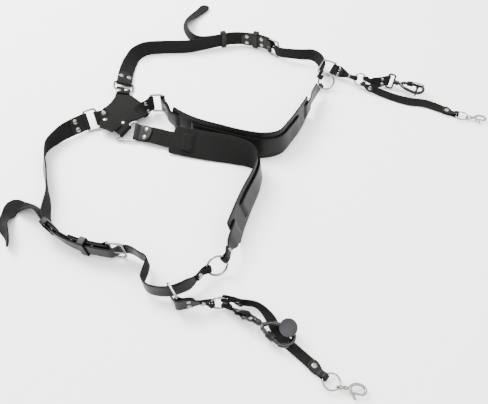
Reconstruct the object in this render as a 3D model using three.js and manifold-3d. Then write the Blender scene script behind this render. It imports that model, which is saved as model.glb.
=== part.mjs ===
// A leather harness that carries two cameras, laid out on a flat surface. All lengths are in
// millimetres and +Z is up. Two loops, the near and the far one, hang from a back yoke. Each loop is
// a padded shoulder strap and a buckled side strap that meet at a round front ring. A slider on the
// front strap carries a leash with a screw-lock hook, and a safety strap with a lobster clasp.
import * as THREE from 'three';
import { mergeVertices } from 'three/addons/utils/BufferGeometryUtils.js';
import Module from 'manifold-3d';

const wasm = await Module();
wasm.setup();

// Leather
const leatherThickness = 2.4;
const padThickness = 3.2;
const layerGap = 0.4;
const weaveGap = 0.9;
const mainStrapWidth = 30;
const frontStrapWidth = 24;
const safetyStrapWidth = 15;
const linkWidth = 22;
const hookStrapWidth = 20;
const padWidth = 50;
const padLength = 325;
const ringTabWidth = 9;
const linkTabWidth = 8;
const rivetRadius = 4.6;
const rivetHead = 1.1;
const rivetSpread = 7.6;

// Metal
const wireClearance = 0.5;
const ringSlack = 0.8;
const yokeRing = { wire: 2, depth: 22, corner: 5, sidePlay: 1.5 };
const frontRing = { wire: 1.75, radius: 15.2, rest: 3.5 };
const leashRing = { wire: 1.5, radius: 11.5 };
const keyRing = { wire: 1.2, radius: 11, height: 5.6 };
const buckle = { wire: 2, depth: 24, corner: 5, sidePlay: 1.6, prong: 1.3, reach: 27 };
const slider = { wire: 1.75, depth: 28, corner: 4, sidePlay: 1.6 };
const hookEye = { wire: 1.9, depth: 13, corner: 4, sidePlay: 1 };
const hook = { wire: 3, barrel: 4.6, barrelStart: 14, barrelEnd: 23, neck: 23.5, bend: 58, radius: 14 };
const gate = { wire: 2.7, hingeX: 33, hingeY: -6.9, tipX: 57, tipY: -13.4, gap: 0.5 };
const sleeve = { wall: 1.9, play: 0.4, start: 5, length: 12 };
const plate = { radius: 12, thickness: 5, stud: 3.1, studLength: 4, loop: 7.5, loopWire: 1.5, at: 78 };
const clasp = { wire: 1.9, eye: 4.2, eyeWire: 1.1, barrel: 2.6, barrelEnd: 9 };
const claspBend = [
  { x: 9.4, y: 0 },
  { x: 11.4, y: 0.4 },
  { x: 14, y: 3.8 },
  { x: 20, y: 6.4 },
  { x: 27, y: 5.4 },
  { x: 31, y: 1 },
  { x: 30.6, y: -3.4 },
  { x: 27.6, y: -6 },
];
const claspLug = [
  { x: 13.2, y: 2 },
  { x: 13, y: -2.7 },
];
const hookLug = [
  { x: 27.2, y: 0.5 },
  { x: 27.8, y: -3 },
  { x: 29.6, y: -5.6 },
];
const lever = { wire: 1.5, hingeX: 13.6, hingeY: -5, tipX: 25.4, tipY: -6.2, tabX: 18, tabY: -12.5 };

// Spans of the laid harness, from which its plan follows by shares
const yokeSpan = 120;
const loopSpan = 390;
const leashSpan = 100;
const safetySpan = 190;
const tailSpan = 128;
const yokeHeight = 17;
const yokeThickness = 2.8;
const yokeArmWidth = 26;

// Folds, keepers and slits along the straps
const flapLength = 30;
const buckleFlapLength = 68;
const shortFlapLength = 22;
const armFlapLength = 18;
const foldRun = 9;
const padTip = 12;
const slitInset = 20;
const slitPitch = 26;
const slitReach = 9;
const keeperLength = 11;
const keeperWall = 1.8;
const keeperPlay = 0.9;
const fixedKeeperAt = 37;
const slidingKeeperAt = 108;
const buckleRivets = [22, 56];
const stationStep = 18;
const slitSteps = 5;
const wireSides = 6;
const rivetSides = 6;
const rodSides = 8;
const surfaceTolerance = 0.14;

const up = new THREE.Vector3(0, 0, 1);
const radians = THREE.MathUtils.degToRad;

const materials = {
  leather: new THREE.MeshStandardMaterial({ color: 0x2a2a29, roughness: 0.75, metalness: 0 }),
  chrome: new THREE.MeshStandardMaterial({ color: 0xd9dadb, roughness: 0.18, metalness: 1 }),
  gunmetal: new THREE.MeshStandardMaterial({ color: 0x55565a, roughness: 0.35, metalness: 1 }),
  nickel: new THREE.MeshStandardMaterial({ color: 0xb9b8b4, roughness: 0.3, metalness: 1 }),
};

// Plan of each route as rows from its start to its end: along and across are shares of the straight
// line between them, lean is how far the strap stands up from lying flat, in degrees, and lift
// is how far its lower edge floats, as a share of the widest band on the route.
const nearShoulderRows = [
  { along: 0, across: 0, lean: 25, lift: 0.04 },
  { along: 0.11, across: 0.09, lean: 27, lift: 0.04 },
  { along: 0.21, across: 0.17, lean: 39, lift: 0.03 },
  { along: 0.32, across: 0.27, lean: 49, lift: 0.01 },
  { along: 0.44, across: 0.38, lean: 65, lift: 0 },
  { along: 0.53, across: 0.43, lean: 85, lift: 0 },
  { along: 0.59, across: 0.42, lean: 95, lift: 0 },
  { along: 0.65, across: 0.38, lean: 102, lift: 0 },
  { along: 0.76, across: 0.25, lean: 108, lift: 0 },
  { along: 0.85, across: 0.15, lean: 110, lift: 0 },
  { along: 0.93, across: 0.07, lean: 115, lift: 0 },
  { along: 1, across: 0, lean: 120, lift: 0 },
];
const farShoulderRows = [
  { along: 0, across: 0, lean: 90, lift: 0 },
  { along: 0.03, across: -0.12, lean: 88, lift: 0 },
  { along: 0.13, across: -0.26, lean: 82, lift: 0 },
  { along: 0.29, across: -0.385, lean: 74, lift: 0 },
  { along: 0.4, across: -0.455, lean: 72, lift: 0 },
  { along: 0.5, across: -0.495, lean: 75, lift: 0 },
  { along: 0.59, across: -0.49, lean: 80, lift: 0 },
  { along: 0.67, across: -0.42, lean: 82, lift: 0 },
  { along: 0.77, across: -0.31, lean: 83, lift: 0 },
  { along: 0.86, across: -0.19, lean: 88, lift: 0 },
  { along: 0.95, across: -0.07, lean: 85, lift: 0 },
  { along: 1, across: 0, lean: 80, lift: 0 },
];
const nearSideRows = [
  { along: 0, across: 0, lean: -57, lift: 0.14 },
  { along: 0, across: -0.09, lean: -70, lift: 0.08 },
  { along: 0.01, across: -0.15, lean: -87, lift: 0 },
  { along: 0.04, across: -0.21, lean: -103, lift: 0 },
  { along: 0.11, across: -0.25, lean: -108, lift: 0 },
  { along: 0.2, across: -0.28, lean: -108, lift: 0 },
  { along: 0.32, across: -0.32, lean: -92, lift: 0 },
  { along: 0.43, across: -0.37, lean: -75, lift: 0.14 },
  { along: 0.51, across: -0.37, lean: -77, lift: 0.22 },
  { along: 0.59, across: -0.34, lean: -80, lift: 0.12 },
  { along: 0.67, across: -0.29, lean: -83, lift: 0.16 },
  { along: 0.75, across: -0.22, lean: -84, lift: 0.18 },
  { along: 0.8, across: -0.17, lean: -85, lift: 0.18 },
  { along: 0.84, across: -0.155, lean: -85, lift: 0.18 },
  { along: 0.87, across: -0.18, lean: -84, lift: 0.14 },
  { along: 0.9, across: -0.21, lean: -86, lift: 0.12 },
  { along: 0.94, across: -0.21, lean: -90, lift: 0.12 },
  { along: 0.99, across: -0.16, lean: -94, lift: 0.08 },
  { along: 1.01, across: -0.08, lean: -100, lift: 0.1 },
  { along: 1, across: 0, lean: -108, lift: 0.05 },
];
const farSideRows = [
  { along: 0, across: 0, lean: 20, lift: 0.1 },
  { along: 0, across: 0.11, lean: 32, lift: 0.04 },
  { along: 0.01, across: 0.18, lean: 46, lift: 0 },
  { along: 0.03, across: 0.24, lean: 62, lift: 0 },
  { along: 0.08, across: 0.285, lean: 78, lift: 0 },
  { along: 0.17, across: 0.3, lean: 86, lift: 0 },
  { along: 0.32, across: 0.31, lean: 90, lift: 0 },
  { along: 0.45, across: 0.345, lean: 92, lift: 0.1 },
  { along: 0.55, across: 0.375, lean: 92, lift: 0.12 },
  { along: 0.64, across: 0.365, lean: 94, lift: 0.16 },
  { along: 0.72, across: 0.335, lean: 97, lift: 0.18 },
  { along: 0.79, across: 0.28, lean: 97, lift: 0.18 },
  { along: 0.85, across: 0.23, lean: 95, lift: 0.16 },
  { along: 0.92, across: 0.215, lean: 88, lift: 0.18 },
  { along: 0.98, across: 0.2, lean: 78, lift: 0.26 },
  { along: 1.015, across: 0.15, lean: 72, lift: 0.28 },
  { along: 1.02, across: 0.07, lean: 70, lift: 0.24 },
  { along: 1, across: 0, lean: 70, lift: 0.1 },
];
const nearSafetyRows = [
  { along: 0, across: 0, lean: 86, lift: 0.3 },
  { along: 0.12, across: 0.11, lean: 86, lift: 0.1 },
  { along: 0.22, across: 0.16, lean: 85, lift: 0.05 },
  { along: 0.36, across: 0.14, lean: 50, lift: 0 },
  { along: 0.5, across: 0.08, lean: 8, lift: 0 },
  { along: 0.67, across: 0.05, lean: -5, lift: 0 },
  { along: 0.85, across: 0.03, lean: -5, lift: 0.03 },
  { along: 1, across: 0, lean: 0, lift: 0.1 },
];
const farSafetyRows = [
  { along: 0, across: 0, lean: 76, lift: 0.4 },
  { along: 0.18, across: -0.03, lean: 76, lift: 0.1 },
  { along: 0.35, across: -0.04, lean: 72, lift: 0 },
  { along: 0.51, across: -0.03, lean: 56, lift: 0 },
  { along: 0.67, across: 0.02, lean: 42, lift: 0 },
  { along: 0.84, across: 0.02, lean: 25, lift: 0.03 },
  { along: 1, across: 0, lean: 0, lift: 0.1 },
];
const nearTailRows = [
  { along: 0, across: -0.59, lean: -122, lift: 0.14 },
  { along: 0.18, across: -0.95, lean: -156, lift: 0.1 },
  { along: 0.42, across: -1.23, lean: -195, lift: 0.05 },
  { along: 0.72, across: -1.02, lean: -173, lift: 0.03 },
  { along: 0.88, across: -0.69, lean: -138, lift: 0.03 },
  { along: 0.91, across: -0.34, lean: -116, lift: 0 },
  { along: 1, across: 0, lean: -115, lift: 0 },
];
const farTailRows = [
  { along: 0.04, across: 0.26, lean: 88, lift: 0.08 },
  { along: 0.33, across: 0.37, lean: 100, lift: 0.03 },
  { along: 0.66, across: 0.28, lean: 160, lift: 0.05 },
  { along: 0.91, across: 0.06, lean: 178, lift: 0.1 },
  { along: 1, across: 0, lean: 180, lift: 0.12 },
];

// Outline of the yoke's flat middle, as shares of its span, anticlockwise
const yokeOutline = [
  { x: 0.07, y: 0.52 },
  { x: -0.185, y: 0.475 },
  { x: -0.22, y: 0.35 },
  { x: -0.27, y: 0.25 },
  { x: -0.33, y: 0.19 },
  { x: -0.31, y: -0.24 },
  { x: -0.2, y: -0.29 },
  { x: -0.1, y: -0.35 },
  { x: -0.07, y: -0.32 },
  { x: 0.17, y: -0.09 },
  { x: 0.27, y: -0.05 },
  { x: 0.37, y: 0.04 },
  { x: 0.36, y: 0.23 },
  { x: 0.28, y: 0.31 },
  { x: 0.17, y: 0.42 },
];

// Places on the plan, as shares of the spans above, with the yoke's middle at 0, 0. The leash,
// tail and safety places start from the piece that they hang on. Headings are in degrees from +X.
// Skew slides the ring's bow to one side, and width and arm x and y are those of the yoke's arm.
const sides = {
  near: {
    flip: 1,
    sideStart: { x: -0.53, y: -0.12, z: 0.148, heading: 205, lean: -57, skew: 0 },
    sideArm: { x: -0.22, y: -0.02, width: 32, flap: 1 },
    shoulderStart: { x: 0.26, y: -0.3, z: 0.1, heading: -8, lean: 25, skew: 0.55 },
    shoulderArm: { x: -0.05, y: -0.13, width: 32, flap: -1 },
    shoulderOutward: -1,
    frontRing: { x: 0.48, y: -0.84, facing: -66, tilt: 25, sideAt: 180, shoulderAt: 28 },
    shoulderRows: nearShoulderRows,
    sideRows: nearSideRows,
    padStart: 70,
    buckleShare: 0.65,
    sliderShare: 0.895,
    sliderTurn: -20,
    sliderInset: 4.2,
    tail: { x: -0.383, y: -0.281, rows: nearTailRows },
    leash: { ringX: 0.56, ringY: 0.03, ringZ: 0.145, lean: -90, eyeX: 0.36, eyeY: -0.17, eyeZ: 0.12 },
    leashRing: { facing: -85, tilt: 8, linkAt: 180, hookAt: -40, safetyAt: 40 },
    hookStrapLean: -50,
    safety: { x: 0.755, y: -0.555, rows: nearSafetyRows },
    hookHeading: -31,
    claspHeading: -7,
  },
  far: {
    flip: -1,
    sideStart: { x: -0.12, y: 0.93, z: 0.075, heading: 95, lean: 20, skew: 0 },
    sideArm: { x: -0.05, y: 0.42, width: 32, flap: 1 },
    shoulderStart: { x: 0.62, y: 0.25, z: 0.208, heading: 0, lean: 90, skew: 0 },
    shoulderArm: { x: 0.25, y: 0.08, width: 30, flap: -1 },
    shoulderOutward: 1,
    frontRing: { x: 0.995, y: 0.27, facing: -90, tilt: 30, sideAt: 145, shoulderAt: 222 },
    shoulderRows: farShoulderRows,
    sideRows: farSideRows,
    padStart: 46,
    buckleShare: 0.685,
    sliderShare: 0.93,
    sliderTurn: 0,
    sliderInset: 3.7,
    tail: { x: -0.289, y: 1.289, rows: farTailRows },
    leash: { ringX: 0.49, ringY: -0.38, ringZ: 0.18, lean: 57, eyeX: 0.55, eyeY: 0.02, eyeZ: 0.15 },
    leashRing: { facing: -118, tilt: 25, linkAt: 180, hookAt: 28, safetyAt: -42 },
    hookStrapLean: 57,
    safety: { x: 0.945, y: -0.5, rows: farSafetyRows },
    hookHeading: -28,
    claspHeading: -4,
  },
};

const smooth = (value) => THREE.MathUtils.smoothstep(value, 0, 1);
const mix = THREE.MathUtils.lerp;
const bearing = (degrees) => new THREE.Vector3(Math.cos(radians(degrees)), Math.sin(radians(degrees)), 0);
const onPlan = (place, span) => new THREE.Vector3(place.x * span, place.y * span, (place.z ?? 0) * span);
const along = (origin, ...terms) => {
  const point = origin.clone();
  for (const [axis, amount] of terms) {
    point.addScaledVector(axis, amount);
  }
  return point;
};

// Solids
function solidOf(geometry) {
  const bare = new THREE.BufferGeometry();
  bare.setAttribute('position', geometry.getAttribute('position').clone());
  bare.setIndex(geometry.getIndex());
  const merged = mergeVertices(bare, 1e-4);
  const mesh = new wasm.Mesh({
    numProp: 3,
    vertProperties: new Float32Array(merged.getAttribute('position').array),
    triVerts: new Uint32Array(merged.getIndex().array),
  });
  return new wasm.Manifold(mesh);
}

function geometryOf(solid) {
  const mesh = solid.getMesh();
  const indexed = new THREE.BufferGeometry();
  indexed.setAttribute('position', new THREE.BufferAttribute(mesh.vertProperties, mesh.numProp));
  indexed.setIndex(new THREE.BufferAttribute(mesh.triVerts, 1));
  const geometry = indexed.toNonIndexed();
  geometry.computeVertexNormals();
  return geometry;
}

const fuse = (geometries) => wasm.Manifold.union(geometries.map(solidOf));

// A row of stations as a chain of convex blocks, for a band that folds onto itself where it twists
function chained(stations) {
  const rings = stations.map(({ point, width, out, section }) =>
    section.map(([a, b]) => along(point, [width, a], [out, b]).toArray()),
  );
  const blocks = rings.slice(1).map((ring, i) => wasm.Manifold.hull([...rings[i], ...ring]));
  return wasm.Manifold.union(blocks);
}

function piece(name, solid, material) {
  const [whole] = solid.decompose().sort((a, b) => b.volume() - a.volume());
  const mesh = new THREE.Mesh(geometryOf(whole.asOriginal().simplify(surfaceTolerance)), material);
  mesh.name = name;
  group.add(mesh);
}

// Skins a row of stations, each a point, a width and an out direction, and a section of
// [across, out] pairs that runs anticlockwise seen against the way of travel.
function sweep(stations, closed = false) {
  const positions = [];
  const faces = [];
  const sides = stations[0].section.length;
  for (const { point, width, out, section } of stations) {
    for (const [a, b] of section) {
      const corner = along(point, [width, a], [out, b]);
      positions.push(corner.x, corner.y, corner.z);
    }
  }
  const rings = closed ? stations.length : stations.length - 1;
  for (let i = 0; i < rings; i += 1) {
    const here = i * sides;
    const there = ((i + 1) % stations.length) * sides;
    for (let k = 0; k < sides; k += 1) {
      const next = (k + 1) % sides;
      faces.push(here + k, here + next, there + next);
      faces.push(here + k, there + next, there + k);
    }
  }
  if (!closed) {
    const last = (stations.length - 1) * sides;
    for (let k = 1; k < sides - 1; k += 1) {
      faces.push(0, k + 1, k);
      faces.push(last, last + k, last + k + 1);
    }
  }
  const geometry = new THREE.BufferGeometry();
  geometry.setAttribute('position', new THREE.Float32BufferAttribute(positions, 3));
  geometry.setIndex(faces);
  return geometry;
}

function slab(width, thickness) {
  const a = width / 2;
  const b = thickness / 2;
  return [[-a, -b], [a, -b], [a, b], [-a, b]];
}

function disc(radius, count) {
  const turn = (k) => ((k + 0.5) * 2 * Math.PI) / count;
  return Array.from({ length: count }, (_, k) => [radius * Math.cos(turn(k)), radius * Math.sin(turn(k))]);
}

// A wire through points of a plane with the given normal
function wire(points, normal, radius, closed = false, count = wireSides) {
  const section = disc(radius, count);
  const size = points.length;
  const stations = points.map((point, i) => {
    const before = closed ? points[(i + size - 1) % size] : points[Math.max(i - 1, 0)];
    const after = closed ? points[(i + 1) % size] : points[Math.min(i + 1, size - 1)];
    const travel = after.clone().sub(before).normalize();
    return { point, width: normal, out: travel.cross(normal).normalize(), section };
  });
  return sweep(stations, closed);
}

function ringWire(centre, first, second, radius, wireRadius, steps) {
  const points = Array.from({ length: steps }, (_, i) => {
    const angle = (i * 2 * Math.PI) / steps;
    return along(centre, [first, radius * Math.cos(angle)], [second, radius * Math.sin(angle)]);
  });
  return wire(points, first.clone().cross(second).normalize(), wireRadius, true);
}

// Rounds the corners of a closed path of [first, second] pairs
function roundedPath(corners, radius, steps = 2) {
  const path = [];
  corners.forEach((pair, i) => {
    const corner = new THREE.Vector2(...pair);
    const before = new THREE.Vector2(...corners[(i + corners.length - 1) % corners.length]);
    const after = new THREE.Vector2(...corners[(i + 1) % corners.length]);
    const enter = before.sub(corner).setLength(radius).add(corner);
    const leave = after.sub(corner).setLength(radius).add(corner);
    const bend = new THREE.QuadraticBezierCurve(enter, corner, leave);
    path.push(...bend.getPoints(steps).map((point) => [point.x, point.y]));
  });
  return path;
}

function rod(from, to, radius, count = rodSides) {
  const travel = to.clone().sub(from).normalize();
  const helper = Math.abs(travel.z) > 0.9 ? new THREE.Vector3(1, 0, 0) : up;
  const width = helper.clone().cross(travel).normalize();
  const out = travel.clone().cross(width);
  const section = disc(radius, count);
  return sweep([{ point: from, width, out, section }, { point: to, width, out, section }]);
}

// A route over the surface. Its plan runs through points, and its rows lean it and lift it. An end
// may hook round a bar, with a flap on the inner side (1) or the outer side (-1).
class Route {
  constructor(points, rows, support, thickness, ends, blend) {
    const flat = points.map((point) => new THREE.Vector3(point.x, point.y, 0));
    const forms = rows.map((row) => new THREE.Vector3(row.lean, row.lift, 0));
    this.plan = new THREE.CatmullRomCurve3(flat, false, 'centripetal');
    this.plan.arcLengthDivisions = 400;
    this.form = new THREE.CatmullRomCurve3(forms, false, 'catmullrom', 0.5);
    this.support = support;
    this.thickness = thickness;
    this.length = this.plan.getLength();
    this.blend = blend;
    this.anchors = {};
    if (ends.start) {
      this.anchors.start = this.hookRound(0, ends.start);
    }
    if (ends.end) {
      this.anchors.end = this.hookRound(this.length, ends.end);
    }
  }

  hookRound(distance, { bar, axis, side, radius }) {
    const raw = this.place(distance);
    const width = axis.clone().multiplyScalar(raw.width.dot(axis) < 0 ? -1 : 1);
    const travel = along(raw.travel, [width, -raw.travel.dot(width)]).normalize();
    const inner = travel.cross(width);
    return { width, shift: along(bar, [inner, -side * radius]).sub(raw.point) };
  }

  formAt(distance) {
    const share = THREE.MathUtils.clamp(distance / this.length, 0, 1);
    const form = this.form.getPoint(this.plan.getUtoTmapping(share));
    return { lean: form.x, lift: form.y };
  }

  place(distance) {
    const inside = THREE.MathUtils.clamp(distance, 0, this.length);
    const step = this.plan.getUtoTmapping(inside / this.length);
    const travel = this.plan.getTangent(step);
    const point = this.plan.getPoint(step).addScaledVector(travel, distance - inside);
    const form = this.form.getPoint(step);
    const lean = radians(form.x);
    point.z = (this.support / 2) * Math.abs(Math.sin(lean));
    point.z += (this.thickness / 2) * Math.abs(Math.cos(lean)) + form.y * this.support;
    const left = up.clone().cross(travel);
    const width = left.multiplyScalar(Math.cos(lean)).addScaledVector(up, Math.sin(lean));
    const weights = { start: inside, end: this.length - inside };
    for (const [end, anchor] of Object.entries(this.anchors)) {
      const weight = 1 - smooth(weights[end] / this.blend);
      point.addScaledVector(anchor.shift, weight);
      width.lerp(anchor.width, weight);
    }
    return { point, width: width.normalize(), travel };
  }

  frame(distance) {
    const here = this.place(distance);
    const travel = this.place(distance + 0.5).point.sub(this.place(distance - 0.5).point);
    travel.addScaledVector(here.width, -travel.dot(here.width)).normalize();
    return { point: here.point, width: here.width, travel, inner: travel.clone().cross(here.width) };
  }
}

// The way from one place to another through rows of shares
function planPoints(from, to, rows) {
  const line = to.clone().sub(from).setZ(0);
  const side = new THREE.Vector3(-line.y, line.x, 0);
  return rows.map((row) => along(from, [line, row.along], [side, row.across]));
}

// How far a flap stands off its strap at a distance from the bar
function flapRise(distance, radius) {
  return mix(2 * radius, leatherThickness + layerGap, smooth(distance / foldRun));
}

function tipFactor(distance, width) {
  const inset = Math.max(0, 1 - distance / (width / 3));
  return Math.sqrt(1 - 0.8 * inset * inset);
}

// Stations of a folded end. The way into the strap is 1 where they run from the flap's tip round
// the bar to the strap, and -1 where they run from the strap round the bar to the flap's tip.
function foldStations(route, from, into, { side, radius, flap }, widthAt, thickness) {
  const flapSteps = [flap, flap - 2, flap - 6];
  const ends = [from + into * foldRun, from + into * (flap - 6)].sort((a, b) => a - b);
  const between = gridBetween(...ends).map((place) => Math.abs(place - from));
  flapSteps.push(...between.sort((a, b) => b - a));
  flapSteps.push(Math.min(foldRun, flap - 8), foldRun * 0.45, 0);
  const stations = flapSteps.map((distance) => {
    const frame = route.frame(from + into * distance);
    const point = along(frame.point, [frame.inner, side * flapRise(distance, radius)]);
    const full = widthAt(from + into * distance);
    const section = slab(full * tipFactor(flap - distance, full), thickness);
    return { point, width: frame.width, out: frame.inner.clone().negate(), section };
  });
  const bar = route.frame(from);
  const centre = along(bar.point, [bar.inner, side * radius]);
  const section = slab(widthAt(from), thickness);
  for (const degrees of [40, 75, 105, 140]) {
    const cos = Math.cos(radians(degrees));
    const sin = Math.sin(radians(degrees));
    const point = along(centre, [bar.inner, side * radius * cos], [bar.travel, -into * radius * sin]);
    const out = along(new THREE.Vector3(), [bar.inner, -cos], [bar.travel, into * side * sin]);
    stations.push({ point, width: bar.width, out, section });
  }
  return into > 0 ? stations : stations.reverse();
}

// Steps of a grid that all the bands on a route share, so that layers stay parallel
function gridBetween(from, to, step = stationStep) {
  const first = Math.ceil((from + step / 5) / step);
  const last = Math.floor((to - step / 5) / step);
  return Array.from({ length: Math.max(0, last - first + 1) }, (_, i) => (first + i) * step);
}

const stepsBetween = (from, to, step = stationStep) => [from, ...gridBetween(from, to, step), to];

function slitStations(slit) {
  return Array.from({ length: slitSteps + 1 }, (_, i) => slit + slitReach * (-1 + (2 * i) / slitSteps));
}

// Steps along a strap that is woven through slits, with extra ones at each slit if asked for
function wovenSteps(from, to, slits, extra) {
  const steps = [];
  let last = from;
  for (const slit of slits) {
    steps.push(...stepsBetween(last, slit - slitReach));
    if (extra) {
      steps.push(...slitStations(slit).slice(1, -1));
    }
    last = slit + slitReach;
  }
  return [...steps, ...stepsBetween(last, to)];
}

function bandStations(route, steps, widthAt, offsetAt, thickness) {
  return steps.map((distance) => {
    const frame = route.frame(distance);
    const point = along(frame.point, [frame.inner, offsetAt(distance)]);
    const section = slab(widthAt(distance), thickness);
    return { point, width: frame.width, out: frame.inner, section };
  });
}

// A rivet's head on the outer face of a flap
function rivet(route, distance, across, flap, radius = rivetRadius) {
  const frame = route.frame(distance);
  const middle = along(frame.point, [frame.width, across]);
  const reach = (leatherThickness / 2 + rivetHead) * Math.sign(flap);
  const layer = along(middle, [frame.inner, flap]);
  return rod(layer, along(layer, [frame.inner, reach]), radius, rivetSides);
}

function box(frame, { travel, inner, width }) {
  const [t0, t1] = travel;
  const [n0, n1] = inner;
  const [w0, w1] = width;
  const section = [[w0, n0], [w1, n0], [w1, n1], [w0, n1]];
  const station = (distance) => {
    const point = along(frame.point, [frame.travel, distance]);
    return { point, width: frame.width, out: frame.inner, section };
  };
  return sweep([station(t0), station(t1)]);
}

const flapAt = leatherThickness + layerGap;
const barRadius = (wireRadius) => wireRadius + wireClearance + leatherThickness / 2;
const frontOffset = -(leatherThickness + rivetHead + 2 * layerGap);

// Where the rings are
function yokeRingPlace(start) {
  const heading = bearing(start.heading);
  const left = up.clone().cross(heading);
  const lean = radians(start.lean);
  const width = left.multiplyScalar(Math.cos(lean)).addScaledVector(up, Math.sin(lean));
  const bar = onPlan(start, yokeSpan);
  const half = mainStrapWidth / 2 + yokeRing.sidePlay + yokeRing.wire;
  const near = yokeRing.depth * (1 - start.skew);
  const far = yokeRing.depth * (1 + start.skew);
  const bow = along(bar, [heading, -(near + far) / 2]);
  const axis = along(width.clone().multiplyScalar(2 * half), [heading, far - near]).normalize();
  return { bar, heading, width, half, near, far, bow, axis };
}

function buildYokeRing(name, start) {
  const { bar, heading, width, half, near, far } = yokeRingPlace(start);
  const corners = [[-half, 0], [half, 0], [half, -near], [-half, -far]];
  const path = roundedPath(corners, yokeRing.corner);
  const points = path.map(([across, back]) => along(bar, [width, across], [heading, back]));
  const normal = width.clone().cross(heading).normalize();
  piece(name, solidOf(wire(points, normal, yokeRing.wire, true)), materials.chrome);
}

// A round ring's contact at an angle round it: a bar for a strap to fold round
function roundRing(centre, facing, tilt, radius, tabWidth) {
  const sagitta = radius - Math.sqrt(radius ** 2 - (tabWidth / 2) ** 2);
  const flat = bearing(facing);
  const normal = flat.clone().multiplyScalar(Math.cos(radians(tilt)));
  normal.addScaledVector(up, Math.sin(radians(tilt)));
  const first = up.clone().cross(flat);
  const second = normal.clone().cross(first);
  const contact = (degrees, side, wireRadius) => {
    const turn = radians(degrees);
    const spoke = along(new THREE.Vector3(), [first, Math.cos(turn)], [second, Math.sin(turn)]);
    const bar = along(centre, [spoke, radius]);
    const clearRadius = barRadius(wireRadius) + sagitta + ringSlack;
    return { bar, axis: normal.clone().cross(spoke), side, radius: clearRadius };
  };
  return { centre, normal, first, second, contact };
}

function frontRingPlace(side) {
  const { tilt, facing } = side.frontRing;
  const centre = onPlan(side.frontRing, loopSpan);
  centre.z = (frontRing.radius + frontRing.wire) * Math.cos(radians(tilt)) + frontRing.rest;
  return roundRing(centre, facing, tilt, frontRing.radius, ringTabWidth);
}

function buildRoundRing(name, ring, size, steps, material) {
  const geometry = ringWire(ring.centre, ring.first, ring.second, size.radius, size.wire, steps);
  piece(name, solidOf(geometry), material);
}

// Yoke
function yokeArm(place, arm) {
  const neck = onPlan(arm, yokeSpan);
  const middle = neck.clone().lerp(place.bow, 0.5);
  const lift = (yokeHeight - leatherThickness / 2) / mainStrapWidth;
  const rows = [{ lean: 0, lift }, { lean: 0, lift }, { lean: 0, lift }];
  const fold = { side: arm.flap, radius: barRadius(yokeRing.wire), flap: armFlapLength };
  const end = { bar: place.bow, axis: place.axis, ...fold };
  const route = new Route([neck, middle, place.bow], rows, mainStrapWidth, leatherThickness, { end }, 40);
  const widthAt = (distance) => mix(arm.width, yokeArmWidth, smooth(distance / (route.length - 6)));
  const steps = [0, 0.5, 1].map((share) => share * route.length);
  const flat = bandStations(route, steps, widthAt, () => 0, leatherThickness);
  const folded = foldStations(route, route.length, -1, fold, widthAt, leatherThickness);
  const at = route.length - 13;
  const rivets = [-1, 1].map((way) => rivet(route, at, way * rivetSpread, arm.flap * flapAt));
  return [chained([...flat, ...folded]), ...rivets.map(solidOf)];
}

function buildYoke() {
  const corners = yokeOutline.map((row) => new THREE.Vector2(row.x, row.y).multiplyScalar(yokeSpan));
  const outline = new THREE.Shape(corners);
  const flat = new THREE.ExtrudeGeometry(outline, { depth: yokeThickness, bevelEnabled: false });
  flat.translate(0, 0, yokeHeight - yokeThickness / 2);
  const arms = Object.values(sides).flatMap((side) => [
    ...yokeArm(yokeRingPlace(side.sideStart), side.sideArm),
    ...yokeArm(yokeRingPlace(side.shoulderStart), side.shoulderArm),
  ]);
  piece('back_yoke', wasm.Manifold.union([solidOf(flat), ...arms]), materials.leather);
}

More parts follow.
